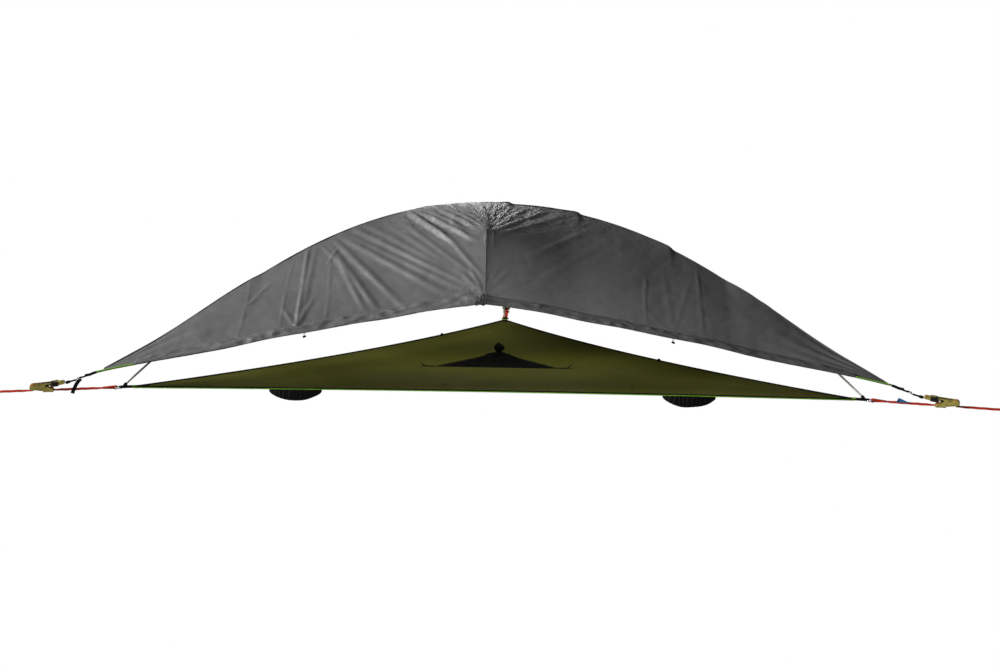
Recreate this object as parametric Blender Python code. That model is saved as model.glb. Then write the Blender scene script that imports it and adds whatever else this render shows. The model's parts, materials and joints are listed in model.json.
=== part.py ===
"""Tree tent: a taut three-cornered floor slung between three trees, under a fly on two crossed poles."""

import bmesh
import bpy
from math import acos, atan2, cos, hypot, pi, sin, sqrt
from mathutils import Matrix, Vector

for old in list(bpy.data.objects):
    bpy.data.objects.remove(old)

# Gaps between pieces that touch, and the overrun of every cut
clearance = 0.0003
overrun = 0.004

# Plan of the three anchor rings; the origin is where the three strap lines meet
ring_span = 4.10
ring_depth = 2.75
centre_setback = 0.59

# Anchor ring: a rounded rectangle of steel rod, one long bar each side
ring_rod = 0.0035
ring_side_room = 0.001
ring_bar_spacing = 0.026
ring_corner = 0.007

# Webbing of the suspension straps
webbing_width = 0.035
webbing_thickness = 0.002

# Floor, its edge webbing and its piping
floor_thickness = 0.0012
corner_cut = 0.070
near_edge_sag = 0.055
side_edge_sag = 0.140
edge_webbing_width = 0.025
edge_webbing_thickness = 0.0022
piping_radius = 0.003
piping_drop = 0.002
patch_tail = 0.150

# Hatch in the floor: a trapezoid with its hinge along the near side
hatch_base = 0.195
hatch_top = 0.620
hatch_base_half = 0.358
hatch_top_half = 0.048
hatch_thickness = 0.0010
hatch_hinge_gap = 0.0007
hatch_side_gap = 0.0006
bundle_place = 0.565
bundle_height = 0.090
bundle_radius = 0.034
bundle_flutes = 7
tab_length = 0.084
tab_width = 0.025
tab_thickness = 0.0018
tab_gap = 0.012
tab_lift = 0.022
slider_length = 0.014
slider_width = 0.009
slider_height = 0.004
slider_pull = 0.030

# Mesh pockets hung under the near edge
pocket_place = 1.085
pocket_width = 0.290
pocket_depth = 0.062
pocket_mouth = 0.034
pocket_wall = 0.0010
pocket_inset = 0.006
pocket_end_depth = 0.010
pocket_end_mouth = 0.012

# Poles: an arch between the near corners, and a ridge from the far corner over it
pole_radius = 0.005
pole_wall = 0.0009
pole_arch_power = 2.1
crown_height = 0.961
crown_setback = 0.410
crown_offset = -0.050
brow_setback = -0.180
ferrule_length = 0.060
cup_radius = 0.009
cup_depth = 0.012
cup_floor = 0.004
cup_inset = 0.024
cord_radius = 0.0016
cord_end_length = 0.010
clip_length = 0.044
clip_width = 0.020
clip_wall = 0.004

# Fly: a cloth over the poles, held out beyond each corner
fly_thickness = 0.0012
fly_lift = 0.0125
ridge_slack = 0.006
tip_height = 0.088
tip_half = 0.014
near_hem_height = 0.475
near_hem_bow = 0.173
side_hem_height = 0.170
side_hem_bow = 0.060
brow_lift = 0.012
brow_reach = 0.014
seam_foot_offset = -0.045
seam_slack = 0.007

# Fly guy at each corner: strap, bar ring and a hook on the ratchet's handle
guy_run = 0.180
guy_strap_run = 0.092
guy_width = 0.025
guy_ring_rod = 0.002
guy_ring_spacing = 0.016
guy_ring_corner = 0.005
guy_ring_height = 0.0610
hook_wire = 0.0025
tail_width = 0.020
tail_thickness = 0.0014
tail_run = 0.042
tail_foot = -0.022
toggle_place = 1.05
toggle_length = 0.026
toggle_radius = 0.0045

# Ratchet: the fixed bolt, the spool and the closed handle, measured outward from the anchor ring
spool_reach = 0.460
bolt_spacing = 0.100
handle_reach = 0.160
handle_end_height = 0.040
bolt_radius = 0.005
bolt_head_radius = 0.008
bolt_head = 0.0018
plate = 0.002
bolt_boss = 0.010
spool_boss = 0.0135
bridge_start = 0.013
bridge_length = 0.034
bridge_drop = 0.0085
mandrel_radius = 0.008
slot_width = 0.0042
wheel_tip = 0.0195
wheel_root = 0.0160
wheel_teeth = 12
winding_turns = 3
winding_thickness = 0.0019
winding_gap = 0.0004
winding_room = 0.0009
winding_steps = 16
handle_room = 0.0010
pivot_radius = 0.0095
pivot_head_radius = 0.0125
pivot_head = 0.0016
handle_boss = 0.0160
handle_end_boss = 0.0075
handle_bar = 0.0040
handle_web_inset = 0.0114
handle_web_length = 0.032
handle_window_start = 0.070
handle_window_room = 0.018
handle_window_half = 0.0055
pawl_thickness = 0.0025
pawl_travel = 0.006
drive_pawl_rise = 0.0090
finger_room = 0.0038
drive_ear_start = 0.026
drive_ear_length = 0.012
drive_tab_length = 0.042
drive_tab_half = 0.017
drive_tab_height = 0.0095
lock_pawl_drop = 0.0070
lock_pawl_length = 0.028
strap_reach = 0.800
strap_loop_half = 0.020
strap_loop_height = 0.0080

# Shares chosen by eye: crest of the fly beyond the last contact with the pole, as (span, rise)
crest_contact_share = 0.66
crest_shares = [(0.70, 0.540), (0.76, 0.462), (0.82, 0.377), (0.88, 0.292), (0.94, 0.214), (1.0, 0.145)]
# Near hem, as (span, height above the origin over the hem's height at the seam)
near_hem_shares = [
    (0.0, 1.0), (0.05, 0.975), (0.15, 0.91), (0.25, 0.82), (0.34, 0.755), (0.45, 0.66),
    (0.55, 0.585), (0.68, 0.460), (0.78, 0.385), (0.86, 0.330), (0.93, 0.280), (1.0, 0.225),
]
# Radius of the gathered bundle over its height
bundle_shares = [
    (0.0, 1.0), (0.12, 0.80), (0.27, 0.50), (0.40, 0.62), (0.62, 0.86), (0.82, 0.66), (1.0, 0.16),
]
# Share of the pole's radius by which its foot stands clear of the cup's floor
cup_rise_share = 0.6
# Depth of the bundle's flutes over its radius
flute_share = 0.16
# Part of the rear seam that runs straight from the far tip before it meets the ridge pole
straight_seam_share = 0.20
# Hatch tabs and the left tail: where they start to bend, and how far they have risen or turned there
tab_bend_shares = [(0.6, 0.0), (0.85, 0.4)]
tail_bend_share = 0.4
# Guy hook: half turns about each bar, from the line between the two bars and from the handle
ring_wrap_shares = (0.55, 0.95)
bar_wrap_share = 0.62
# Toggle: (place down its length, radius over the full radius)
toggle_shares = [(0.0, 0.44), (0.35, 0.44), (0.42, 1.0), (0.92, 1.0), (1.0, 0.6)]
# Tree strap's loop: height of its throat over its full height
throat_share = 0.25
pole_sides = 8
hook_steps = 6
cup_sides = 12
fly_columns = 17
fly_rows = 8
brow_row = 4

strap_top = webbing_thickness / 2
ring_bar_half = webbing_width / 2 + ring_side_room + ring_corner
guy_ring_half = guy_width / 2 + ring_side_room + guy_ring_corner
floor_top = floor_thickness / 2
edge_top = floor_top + clearance + edge_webbing_thickness
patch_base = edge_top + clearance
winding_pitch = winding_thickness + winding_gap
winding_start = mandrel_radius + clearance + winding_thickness / 2
winding_outside = winding_start + winding_turns * winding_pitch + winding_thickness / 2
spool_height = strap_top + winding_room + winding_outside
bolt_reach = spool_reach - bolt_spacing
handle_end_reach = spool_reach - handle_reach
tip_reach = handle_end_reach - guy_run
guy_ring_reach = tip_reach + guy_strap_run
tail_reach = guy_ring_reach + tail_run
eye_layers = 2
eye_wall = eye_layers * webbing_thickness
wheel_inside = webbing_width / 2 + clearance
frame_inside = wheel_inside + plate + clearance
frame_outside = frame_inside + plate
handle_inside = frame_outside + handle_room
pivot_head_inside = handle_inside + plate + clearance


def linear(code):
    """Turn an sRGB hex colour into linear values."""
    channels = [int(code[place:place + 2], 16) / 255 for place in (1, 3, 5)]
    return [c / 12.92 if c <= 0.04045 else ((c + 0.055) / 1.055) ** 2.4 for c in channels] + [1.0]


def finish(name, code, roughness, metallic=0.0):
    """Make one Principled material."""
    material = bpy.data.materials.new(name)
    material.use_nodes = True
    shader = material.node_tree.nodes["Principled BSDF"]
    shader.inputs["Base Color"].default_value = linear(code)
    shader.inputs["Roughness"].default_value = roughness
    shader.inputs["Metallic"].default_value = metallic
    return material


coated_ripstop = finish("coated_ripstop", "#5C5C5C", 0.45)
floor_ripstop = finish("floor_ripstop", "#45461F", 0.7)
black_webbing = finish("black_webbing", "#101010", 0.8)
black_mesh = finish("black_mesh", "#1A1A19", 0.8)
green_piping = finish("green_piping", "#6FA32A", 0.6)
red_webbing = finish("red_webbing", "#B4301A", 0.7)
yellow_zinc = finish("yellow_zinc", "#C2B160", 0.35, 1.0)
plain_steel = finish("plain_steel", "#9A9A98", 0.3, 1.0)
pole_alloy = finish("pole_alloy", "#77776A", 0.35, 1.0)
shock_cord = finish("shock_cord", "#202020", 0.7)
black_plastic = finish("black_plastic", "#0E0E0E", 0.45)


def mesh_from(bm, name):
    """Face every wall outward and hand the shape over as a mesh."""
    bmesh.ops.recalc_face_normals(bm, faces=bm.faces)
    mesh = bpy.data.meshes.new(name)
    bm.to_mesh(mesh)
    bm.free()
    return mesh


def place(name, mesh, material, parent=None, location=(0, 0, 0)):
    """Link one named piece, shaded smooth over its round faces."""
    piece = bpy.data.objects.new(name, mesh)
    bpy.context.scene.collection.objects.link(piece)
    mesh.materials.clear()
    mesh.materials.append(material)
    mesh.shade_smooth()
    mesh.set_sharp_from_angle(angle=pi / 6)
    piece.parent = parent
    piece.location = location
    return piece


def combine(base, others, operation):
    """Join meshes to a base, or cut them from it, and return the result."""
    holder = bpy.data.objects.new("holder", base)
    bpy.context.scene.collection.objects.link(holder)
    helpers = []
    for other in others:
        helper = bpy.data.objects.new("helper", other)
        bpy.context.scene.collection.objects.link(helper)
        step = holder.modifiers.new("step", "BOOLEAN")
        step.operation = operation
        step.object = helper
        helpers.append(helper)
    bpy.context.view_layer.update()
    seen = holder.evaluated_get(bpy.context.evaluated_depsgraph_get())
    result = bpy.data.meshes.new_from_object(seen)
    for helper in helpers + [holder]:
        bpy.data.objects.remove(helper)
    return result


def join(base, *others):
    return combine(base, others, "UNION")


def cut(base, *others):
    return combine(base, others, "DIFFERENCE")


def circle(centre, radius, sides=14):
    """Points of a circle in a plane."""
    return [
        (centre[0] + radius * cos(2 * pi * n / sides), centre[1] + radius * sin(2 * pi * n / sides))
        for n in range(sides)
    ]


def hull(first, first_radius, second, second_radius, steps=5):
    """Outline round two circles of one plane."""
    along = atan2(second[1] - first[1], second[0] - first[0])
    apart = hypot(second[0] - first[0], second[1] - first[1])
    lean = acos((first_radius - second_radius) / apart)
    points = []
    for centre, radius, start, sweep in (
        (first, first_radius, along + lean, 2 * (pi - lean)),
        (second, second_radius, along - lean, 2 * lean),
    ):
        for n in range(steps + 1):
            turn = start + sweep * n / steps
            points.append((centre[0] + radius * cos(turn), centre[1] + radius * sin(turn)))
    return points


def rectangle(low, high):
    return [(low[0], low[1]), (high[0], low[1]), (high[0], high[1]), (low[0], high[1])]


def prism(outline, low, high, upright=False):
    """Extrude a plane outline: along Y from an XZ outline, or along Z from an XY outline if upright."""
    bm = bmesh.new()
    if upright:
        corners = [bm.verts.new((a, b, low)) for a, b in outline]
        travel = (0, 0, high - low)
    else:
        corners = [bm.verts.new((a, low, b)) for a, b in outline]
        travel = (0, high - low, 0)
    face = bm.faces.new(corners)
    grown = bmesh.ops.extrude_face_region(bm, geom=[face], use_keep_orig=True)
    moved = [item for item in grown["geom"] if isinstance(item, bmesh.types.BMVert)]
    bmesh.ops.translate(bm, verts=moved, vec=travel)
    return mesh_from(bm, "prism")


def frames_along(points, closed):
    """Tangent, side and up of a path, carried along it without twist."""
    count = len(points)
    tangents = []
    for n in range(count):
        before = points[n - 1] if closed or n else points[0]
        after = points[(n + 1) % count] if closed or n < count - 1 else points[-1]
        tangents.append((after - before).normalized())
    start = Vector((0, 0, 1)) if abs(tangents[0].z) < 0.9 else Vector((0, 1, 0))
    side = tangents[0].cross(start).normalized()
    result = []
    for tangent in tangents:
        side = (side - tangent * side.dot(tangent)).normalized()
        result.append((tangent, side, side.cross(tangent)))
    return result


def sweep(points, radii, bores=None, sides=8, closed=False):
    """Run a round bar, or a tube if it has bores, along a path with a radius at each point."""
    points = [Vector(point) for point in points]
    path = frames_along(points, closed)
    bm = bmesh.new()

    def rings(sizes):
        rows = []
        for point, (tangent, side, up), size in zip(points, path, sizes):
            turns = [2 * pi * (n + 0.5) / sides for n in range(sides)]
            rows.append([bm.verts.new(point + (side * cos(t) + up * sin(t)) * size) for t in turns])
        return rows

    def skin(rows):
        pairs = list(zip(rows, rows[1:])) + ([(rows[-1], rows[0])] if closed else [])
        for low, high in pairs:
            for n in range(sides):
                m = (n + 1) % sides
                bm.faces.new((low[n], low[m], high[m], high[n]))

    outer = rings(radii)
    skin(outer)
    if bores:
        inner = rings(bores)
        skin(inner)
        for one, two in ((outer[0], inner[0]), (outer[-1], inner[-1])):
            for n in range(sides):
                m = (n + 1) % sides
                bm.faces.new((one[n], one[m], two[m], two[n]))
    elif not closed:
        bm.faces.new(outer[0])
        bm.faces.new(outer[-1])
    return mesh_from(bm, "sweep")


def ribbon(points, across, width, thickness):
    """Run a flat strap along a path; across holds one width direction, or one at each point."""
    points = [Vector(point) for point in points]
    if not isinstance(across, list):
        across = [across] * len(points)
    bm = bmesh.new()
    rows = []
    for point, wide, (tangent, side, up) in zip(points, across, frames_along(points, False)):
        wide = Vector(wide)
        wide = (wide - tangent * wide.dot(tangent)).normalized() * width / 2
        thick = tangent.cross(wide).normalized() * thickness / 2
        corners = (point - wide - thick, point + wide - thick, point + wide + thick, point - wide + thick)
        rows.append([bm.verts.new(corner) for corner in corners])
    for low, high in zip(rows, rows[1:]):
        for n in range(4):
            m = (n + 1) % 4
            bm.faces.new((low[n], low[m], high[m], high[n]))
    bm.faces.new(rows[0])
    bm.faces.new(rows[-1])
    return mesh_from(bm, "ribbon")


def rounded_loop(half, spacing, corner, steps=3):
    """Centre line of a bar ring in the XY plane: long bars along Y, spacing apart in X."""
    points = []
    reach = spacing / 2
    for turn, (x, y) in enumerate(((1, 1), (-1, 1), (-1, -1), (1, -1))):
        for n in range(steps + 1):
            angle = pi / 2 * (turn + n / steps)
            points.append((
                x * (reach - corner) + corner * cos(angle), y * (half - corner) + corner * sin(angle), 0.0,
            ))
    return points


def lookup(shares, value):
    """Read a table of shares at a value between its rows."""
    for (low, first), (high, second) in zip(shares, shares[1:]):
        if value <= high:
            return first + (second - first) * (value - low) / (high - low)
    return shares[-1][1]


class Corner:
    """One anchor corner: local X points outward along its strap, local Y is across, local Z is up."""

    def __init__(self, name, x, y):
        self.name = name
        self.turn = atan2(y, x)
        self.spot = Vector((x, y, 0))
        self.empty = bpy.data.objects.new("corner_" + name, None)
        bpy.context.scene.collection.objects.link(self.empty)
        self.empty.location = self.spot
        self.empty.rotation_euler = (0, 0, self.turn)

    def world(self, u, v, z=0.0):
        return self.spot + Matrix.Rotation(self.turn, 3, "Z") @ Vector((u, v, z))

    def local(self, point):
        return Matrix.Rotation(-self.turn, 3, "Z") @ (Vector(point) - self.spot)


left = Corner("left", -ring_span / 2, -centre_setback)
right = Corner("right", ring_span / 2, -centre_setback)
far = Corner("far", 0.0, ring_depth - centre_setback)
corners = [left, right, far]


def edge_line(first, second, sag, count):
    """Plan points of one floor edge, from the first corner's left to the second's right, bowed inward."""
    start = first.world(-corner_cut, webbing_width / 2)
    end = second.world(-corner_cut, -webbing_width / 2)
    inward = Vector((start.y - end.y, end.x - start.x, 0)).normalized()
    return [
        start.lerp(end, n / count) + inward * sag * 4 * (n / count) * (1 - n / count)
        for n in range(count + 1)
    ]


def offset_line(points, distance):
    """The same line moved towards its left side."""
    moved = []
    for n, point in enumerate(points):
        along = (points[min(n + 1, len(points) - 1)] - points[max(n - 1, 0)]).normalized()
        moved.append(point + Vector((-along.y, along.x, 0)) * distance)
    return moved


edge_steps = 20
edges = {
    "near": (left, right, edge_line(left, right, near_edge_sag, edge_steps)),
    "right": (right, far, edge_line(right, far, side_edge_sag, edge_steps)),
    "left": (far, left, edge_line(far, left, side_edge_sag, edge_steps)),
}


def hatch_outline(grow_side=0.0, grow_hinge=0.0):
    """The hatch's trapezoid, or one grown past its sides and its hinge line."""
    lean = (hatch_base_half - hatch_top_half) / (hatch_top - hatch_base)
    top = hatch_top + grow_side
    base = hatch_base - grow_hinge
    widen = grow_side * sqrt(1 + lean ** 2)
    top_half = hatch_top_half + widen - lean * grow_side
    base_half = hatch_base_half + widen + lean * grow_hinge
    return [(-base_half, base), (base_half, base), (top_half, top), (-top_half, top)]


def build_floor():
    outline = [(p.x, p.y) for _, _, line in edges.values() for p in line]
    sheet = prism(outline, -floor_top, floor_top, upright=True)
    hole = prism(hatch_outline(hatch_side_gap, hatch_hinge_gap), -overrun, overrun, upright=True)
    place("floor_fabric", cut(sheet, hole), floor_ripstop)


def build_edge_webbing():
    """Bands sewn along the three edges, mitred on each corner's centre line."""
    for name, (first, second, line) in edges.items():
        inside = []
        for point in offset_line(line, edge_webbing_width):
            spot = first.local(point)
            point = first.world(spot.x, max(spot.y, clearance / 2))
            spot = second.local(point)
            inside.append(second.world(spot.x, min(spot.y, -clearance / 2)))
        outline = [(p.x, p.y) for p in line + inside[::-1]]
        band = prism(outline, floor_top + clearance, edge_top, upright=True)
        place("edge_webbing_" + name, band, black_webbing)


def build_piping():
    """Piping along the outer lower lip of the near edge."""
    line = edges["near"][2]
    path = offset_line(line, -piping_radius - clearance)
    path = [(p.x, p.y, -piping_drop) for p in path[::2]]
    place("edge_piping", sweep(path, [piping_radius] * len(path), sides=6), green_piping)


ring_outer_bar = ring_bar_spacing
ring_centre = ring_bar_spacing / 2
ring_hole = ring_rod + clearance
patch_eye = ring_hole + eye_wall

foot_height = patch_base + webbing_thickness + cup_floor + pole_radius * cup_rise_share
left_foot = left.world(-cup_inset, 0, foot_height)
right_foot = right.world(-cup_inset, 0, foot_height)
far_foot = far.world(-cup_inset, 0, foot_height)
crown = Vector((crown_offset, crown_setback, crown_height))
pole_crossing_drop = 2 * pole_radius + clearance
ridge_crown = crown - Vector((0, 0, pole_crossing_drop))


def arch_point(foot, share):
    """Point of the cross pole's half, from its crown at 0 to its foot at 1."""
    rise = 1 - share ** pole_arch_power
    return Vector((
        crown.x + (foot.x - crown.x) * share,
        foot.y + (crown.y - foot.y) * rise,
        foot.z + (crown.z - foot.z) * rise,
    ))


def ridge_point(y):
    """Point of the ridge pole at one place along the tent's depth."""
    share = abs(y - crown.y) / (far_foot.y - crown.y)
    height = ridge_crown.z - (ridge_crown.z - far_foot.z) * share ** pole_arch_power
    beyond = (y - crown.y) / (far_foot.y - crown.y)
    return Vector((crown.x * (1 - beyond) if y > crown.y else crown.x, y, height))


arch_shares = [0, 0.012, 0.05] + [n / 12 for n in range(2, 13)]
foot_directions = {
    "left": (arch_point(left_foot, 1 - 1 / 16) - left_foot).normalized(),
    "right": (arch_point(right_foot, 1 - 1 / 16) - right_foot).normalized(),
    "far": (ridge_point(far_foot.y - (far_foot.y - crown.y) / 16) - far_foot).normalized(),
}
feet = {"left": left_foot, "right": right_foot, "far": far_foot}


def build_corners():
    """At each corner: the anchor ring, and the webbing loop and pole cup sewn on the floor's corner."""
    loop = rounded_loop(ring_bar_half, ring_bar_spacing, ring_corner)
    for corner in corners:
        ring = sweep(loop, [ring_rod] * len(loop), sides=6, closed=True)
        place("anchor_ring_" + corner.name, ring, plain_steel, corner.empty, (ring_centre, 0, 0))
        half = webbing_width / 2
        upper = rectangle((-patch_tail, patch_base), (-ring_hole, patch_base + webbing_thickness))
        under = -floor_top - clearance
        lower = rectangle((-patch_tail, under - webbing_thickness), (-ring_hole, under))
        patch = join(
            prism(circle((0, 0), patch_eye), -half, half),
            prism(upper, -half, half),
            prism(lower, -half, half),
        )
        patch = cut(patch, prism(circle((0, 0), ring_hole), -half - overrun, half + overrun))
        foot = corner.local(feet[corner.name])
        toward = Matrix.Rotation(-corner.turn, 3, "Z") @ foot_directions[corner.name]
        cup = sweep([foot - toward * cup_floor, foot + toward * cup_depth], [cup_radius] * 2, sides=cup_sides)
        bore = pole_radius + clearance
        hollow_end = foot + toward * (cup_depth + overrun)
        hollow = sweep([foot - toward * clearance, hollow_end], [bore] * 2, sides=cup_sides)
        place("corner_patch_" + corner.name, cut(join(patch, cup), hollow), black_webbing, corner.empty)


def build_hatch():
    """Mesh flap hinged on the hatch's near side, with its spare mesh gathered into a tied bundle."""
    low = -hatch_thickness / 2
    flap = prism(hatch_outline(), low, -low, upright=True)
    bm = bmesh.new()
    rows = []
    sides = 3 * bundle_flutes
    for height, share in bundle_shares:
        ring = []
        for n in range(sides):
            turn = 2 * pi * n / sides
            radius = bundle_radius * share * (1 + flute_share * cos(bundle_flutes * turn))
            y = bundle_place + radius * sin(turn)
            ring.append(bm.verts.new((radius * cos(turn), y, bundle_height * height)))
        rows.append(ring)
    for lower, upper in zip(rows, rows[1:]):
        for n in range(sides):
            m = (n + 1) % sides
            bm.faces.new((lower[n], lower[m], upper[m], upper[n]))
    bm.faces.new(rows[0])
    bm.faces.new(rows[-1])
    hinge = (0, hatch_base, 0)
    mesh = join(flap, mesh_from(bm, "bundle"))
    mesh.transform(Matrix.Translation(-Vector(hinge)))
    place("hatch_mesh", mesh, black_mesh, None, hinge)
    side = Vector((hatch_top_half - hatch_base_half, hatch_top - hatch_base, 0)).normalized()
    outward = Vector((side.y, -side.x, 0))
    start = Vector((hatch_top_half, hatch_top, 0)) + outward * (slider_width / 2 + hatch_side_gap + clearance)
    start -= side * slider_length
    base = floor_top + clearance
    half = (slider_length / 2, slider_width / 2)
    body = prism(rectangle((-half[0], -half[1]), half), 0, slider_height, upright=True)
    pull_half = slider_width / 4
    pull = prism(
        rectangle((-slider_length / 2 - slider_pull, -pull_half), (0, pull_half)),
        slider_height / 4, slider_height / 2, upright=True,
    )
    slider = join(body, pull)
    slider.transform(Matrix.Rotation(atan2(side.y, side.x), 4, "Z"))
    place("hatch_zip_slider", slider, plain_steel, None, (start.x, start.y, base))
    for name, way in (("left", -1), ("right", 1)):
        inner = way * (hatch_base_half + tab_gap)
        outer = way * (hatch_base_half + tab_gap + tab_length)
        rest = floor_top + clearance + tab_thickness / 2
        points = [
            (inner + (outer - inner) * along, hatch_base, rest + tab_lift * lift)
            for along, lift in [(0.0, 0.0)] + tab_bend_shares + [(1.0, 1.0)]
        ]
        place("hatch_tab_" + name, ribbon(points, (0, 1, 0), tab_width, tab_thickness), black_webbing)


def near_edge_y(x):
    """Depth of the floor's near edge at one place across the tent."""
    line = edges["near"][2]
    for first, second in zip(line, line[1:]):
        if x <= second.x:
            return first.y + (second.y - first.y) * (x - first.x) / (second.x - first.x)
    return line[-1].y


def build_pockets():
    """Two slack mesh pockets, sewn under the near edge with an open mouth in front of it."""
    columns = 12
    rows = 6
    for name, way in (("left", -1), ("right", 1)):
        bm = bmesh.new()
        grid = []
        for i in range(columns + 1):
            across = 2 * i / columns - 1
            full = sqrt(max(0.0, 1 - across ** 2))
            x = way * pocket_place + across * pocket_width / 2
            depth = pocket_end_depth + (pocket_depth - pocket_end_depth) * full
            mouth = pocket_end_mouth + (pocket_mouth - pocket_end_mouth) * full
            back = near_edge_y(x) + pocket_inset
            rim = -floor_top - clearance - pocket_wall / 2
            line = []
            for j in range(rows + 1):
                turn = pi * j / rows
                y = back - (pocket_inset + mouth) * (1 - cos(turn)) / 2
                line.append(bm.verts.new((x, y, rim - depth * sin(turn) - piping_radius * j / rows)))
            grid.append(line)
        for one, two in zip(grid, grid[1:]):
            for j in range(rows):
                bm.faces.new((one[j], one[j + 1], two[j + 1], two[j]))
        shell = place("mesh_pocket_" + name, mesh_from(bm, "pocket"), black_mesh)
        wall = shell.modifiers.new("wall", "SOLIDIFY")
        wall.thickness = pocket_wall
        wall.offset = 0.0


def build_poles():
    """A cross pole and a ridge pole, each of two tubes joined by an inner ferrule, and their cords."""
    bore = pole_radius - pole_wall
    inscribed = cos(pi / pole_sides)
    neck = bore * inscribed - clearance
    neck_bore = neck - pole_wall

    def tube(points):
        return sweep(points, [pole_radius] * len(points), [bore] * len(points), pole_sides)

    def tube_with_ferrule(points, extra):
        joint = points[-1]
        path = points + [joint] + extra
        outer = [pole_radius] * len(points) + [neck] * (1 + len(extra))
        inner = [neck_bore] * len(path)
        return sweep(path, outer, inner, pole_sides)

    left_half = [arch_point(left_foot, s) for s in arch_shares[::-1]]
    right_half = [arch_point(right_foot, s) for s in arch_shares]
    reach = ferrule_length / (right_foot.x - crown.x)
    joint_gap = clearance / (right_foot.x - crown.x)
    right_half[0] = arch_point(right_foot, joint_gap)
    right_half.insert(2, arch_point(right_foot, reach))
    spur = [arch_point(right_foot, arch_shares[1]), arch_point(right_foot, reach)]
    place("cross_pole_left", tube_with_ferrule(left_half, spur), pole_alloy)
    place("cross_pole_right", tube(right_half), pole_alloy)

    def ridge_run(start, end, steps):
        return [ridge_point(start + (end - start) * n / steps) for n in range(steps + 1)]

    flat = clip_length / 2
    rear = ridge_run(far_foot.y, crown.y + flat, 12) + [ridge_point(crown.y), ridge_point(crown.y - flat)]
    front = ridge_run(crown.y - flat - clearance, brow_setback, 4)
    ferrule_end = ridge_point(crown.y - flat - ferrule_length)
    place("ridge_pole_rear", tube_with_ferrule(rear, [front[0], ferrule_end]), pole_alloy)
    front.insert(1, ferrule_end)
    place("ridge_pole_front", tube(front), pole_alloy)

    def elastic(points, bore_end_one, bore_end_two):
        """Shock cord with a knot at each end that fills the bore."""
        first = points[0].lerp(points[1], cord_end_length / (points[1] - points[0]).length)
        last = points[-1].lerp(points[-2], cord_end_length / (points[-2] - points[-1]).length)
        path = [points[0], first, first] + points[1:-1] + [last, last, points[-1]]
        knots = [end * inscribed - clearance for end in (bore_end_one, bore_end_two)]
        sizes = [knots[0]] * 2 + [cord_radius] * len(points) + [knots[1]] * 2
        return sweep(path, sizes, sides=6)

    place("shock_cord_cross", elastic(left_half + right_half[1:], neck_bore, bore), shock_cord)
    place("shock_cord_ridge", elastic(rear[:-1] + front[1:], neck_bore, bore), shock_cord)

    body = clip_wall + pole_radius
    low = ridge_crown.z - body
    section = rectangle((crown.x - clip_length / 2, low), (crown.x + clip_length / 2, crown.z))
    block = prism(section, crown.y - clip_width / 2, crown.y + clip_width / 2)
    hole = pole_radius + clearance
    across = [crown - Vector((clip_length, 0, 0)), crown + Vector((clip_length, 0, 0))]
    along = [ridge_crown - Vector((0, clip_length, 0)), ridge_crown + Vector((0, clip_length, 0))]
    hole /= cos(pi / cup_sides)
    block = cut(block, sweep(across, [hole] * 2, sides=cup_sides), sweep(along, [hole] * 2, sides=cup_sides))
    place("pole_crossing_clip", block, black_plastic)


def tip_point(corner, side=0.0):
    return corner.world(tip_reach, side * tip_half, tip_height)


def crest_point(corner, foot, share):
    """Crest of the fly over the cross pole, from the crown at 0 to the side tip at 1."""
    tip = tip_point(corner)
    x = crown.x + (tip.x - crown.x) * share
    span = (x - crown.x) / (foot.x - crown.x)
    if span <= crest_contact_share:
        point = arch_point(foot, span)
        return point + Vector((0, 0, fly_lift))
    start = arch_point(foot, crest_contact_share) + Vector((0, 0, fly_lift))
    reach = (tip.x - crown.x) / (foot.x - crown.x)
    table = [(crest_contact_share, 1 - crest_contact_share ** pole_arch_power)] + crest_shares
    rise = lookup(table, min(span, 1.0))
    height = foot.z + (crown.z - foot.z) * rise + fly_lift
    if span > 1.0:
        last = foot.z + (crown.z - foot.z) * crest_shares[-1][1] + fly_lift
        height = last + (tip.z - last) * (span - 1.0) / (reach - 1.0)
    along = (span - crest_contact_share) / (reach - crest_contact_share)
    return Vector((x, start.y + (tip.y - start.y) * along, height))


def near_hem_point(corner, foot, share):
    """Near hem, from its seam at 0 to the side tip at 1."""
    way = -1 if corner is left else 1
    tip = tip_point(corner, -way)
    x = seam_foot_offset + (tip.x - seam_foot_offset) * share
    height = near_hem_height * lookup(near_hem_shares, share)
    height += (tip.z - near_hem_height * near_hem_shares[-1][1]) * share ** 4
    return Vector((x, tip.y + near_hem_bow * (1 - share ** 2), height))


def side_hem_point(corner, share):
    """Hem of a rear panel, from the far tip at 0 to the side tip at 1."""
    way = -1 if corner is left else 1
    start = tip_point(far)
    end = tip_point(corner, way)
    middle = 4 * share * (1 - share)
    inward = Vector((-way * (start.y - end.y), -abs(end.x - start.x), 0)).normalized()
    point = start.lerp(end, share) + inward * side_hem_bow * middle
    point.z += side_hem_height * middle
    return point


def brow_point():
    tip = ridge_point(brow_setback)
    return tip + Vector((0, -brow_reach, brow_lift))


def seam_point(share):
    """Front seam, from the hem at 0 over the ridge pole's tip to the crown at 1."""
    foot = Vector((seam_foot_offset, near_hem_point(right, right_foot, 0).y, near_hem_height))
    turning = brow_row / fly_rows
    brow = brow_point()
    if share <= turning:
        point = foot.lerp(brow, share / turning)
        return point + Vector((0, -seam_slack, 0)) * sin(pi * share / turning)
    along = (share - turning) / (1 - turning)
    y = brow.y + (crown.y - brow.y) * along
    top = ridge_point(max(y, brow_setback)).z + fly_lift + pole_crossing_drop * along ** 2
    return Vector((crown.x, y, max(top, brow.z)))


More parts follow.
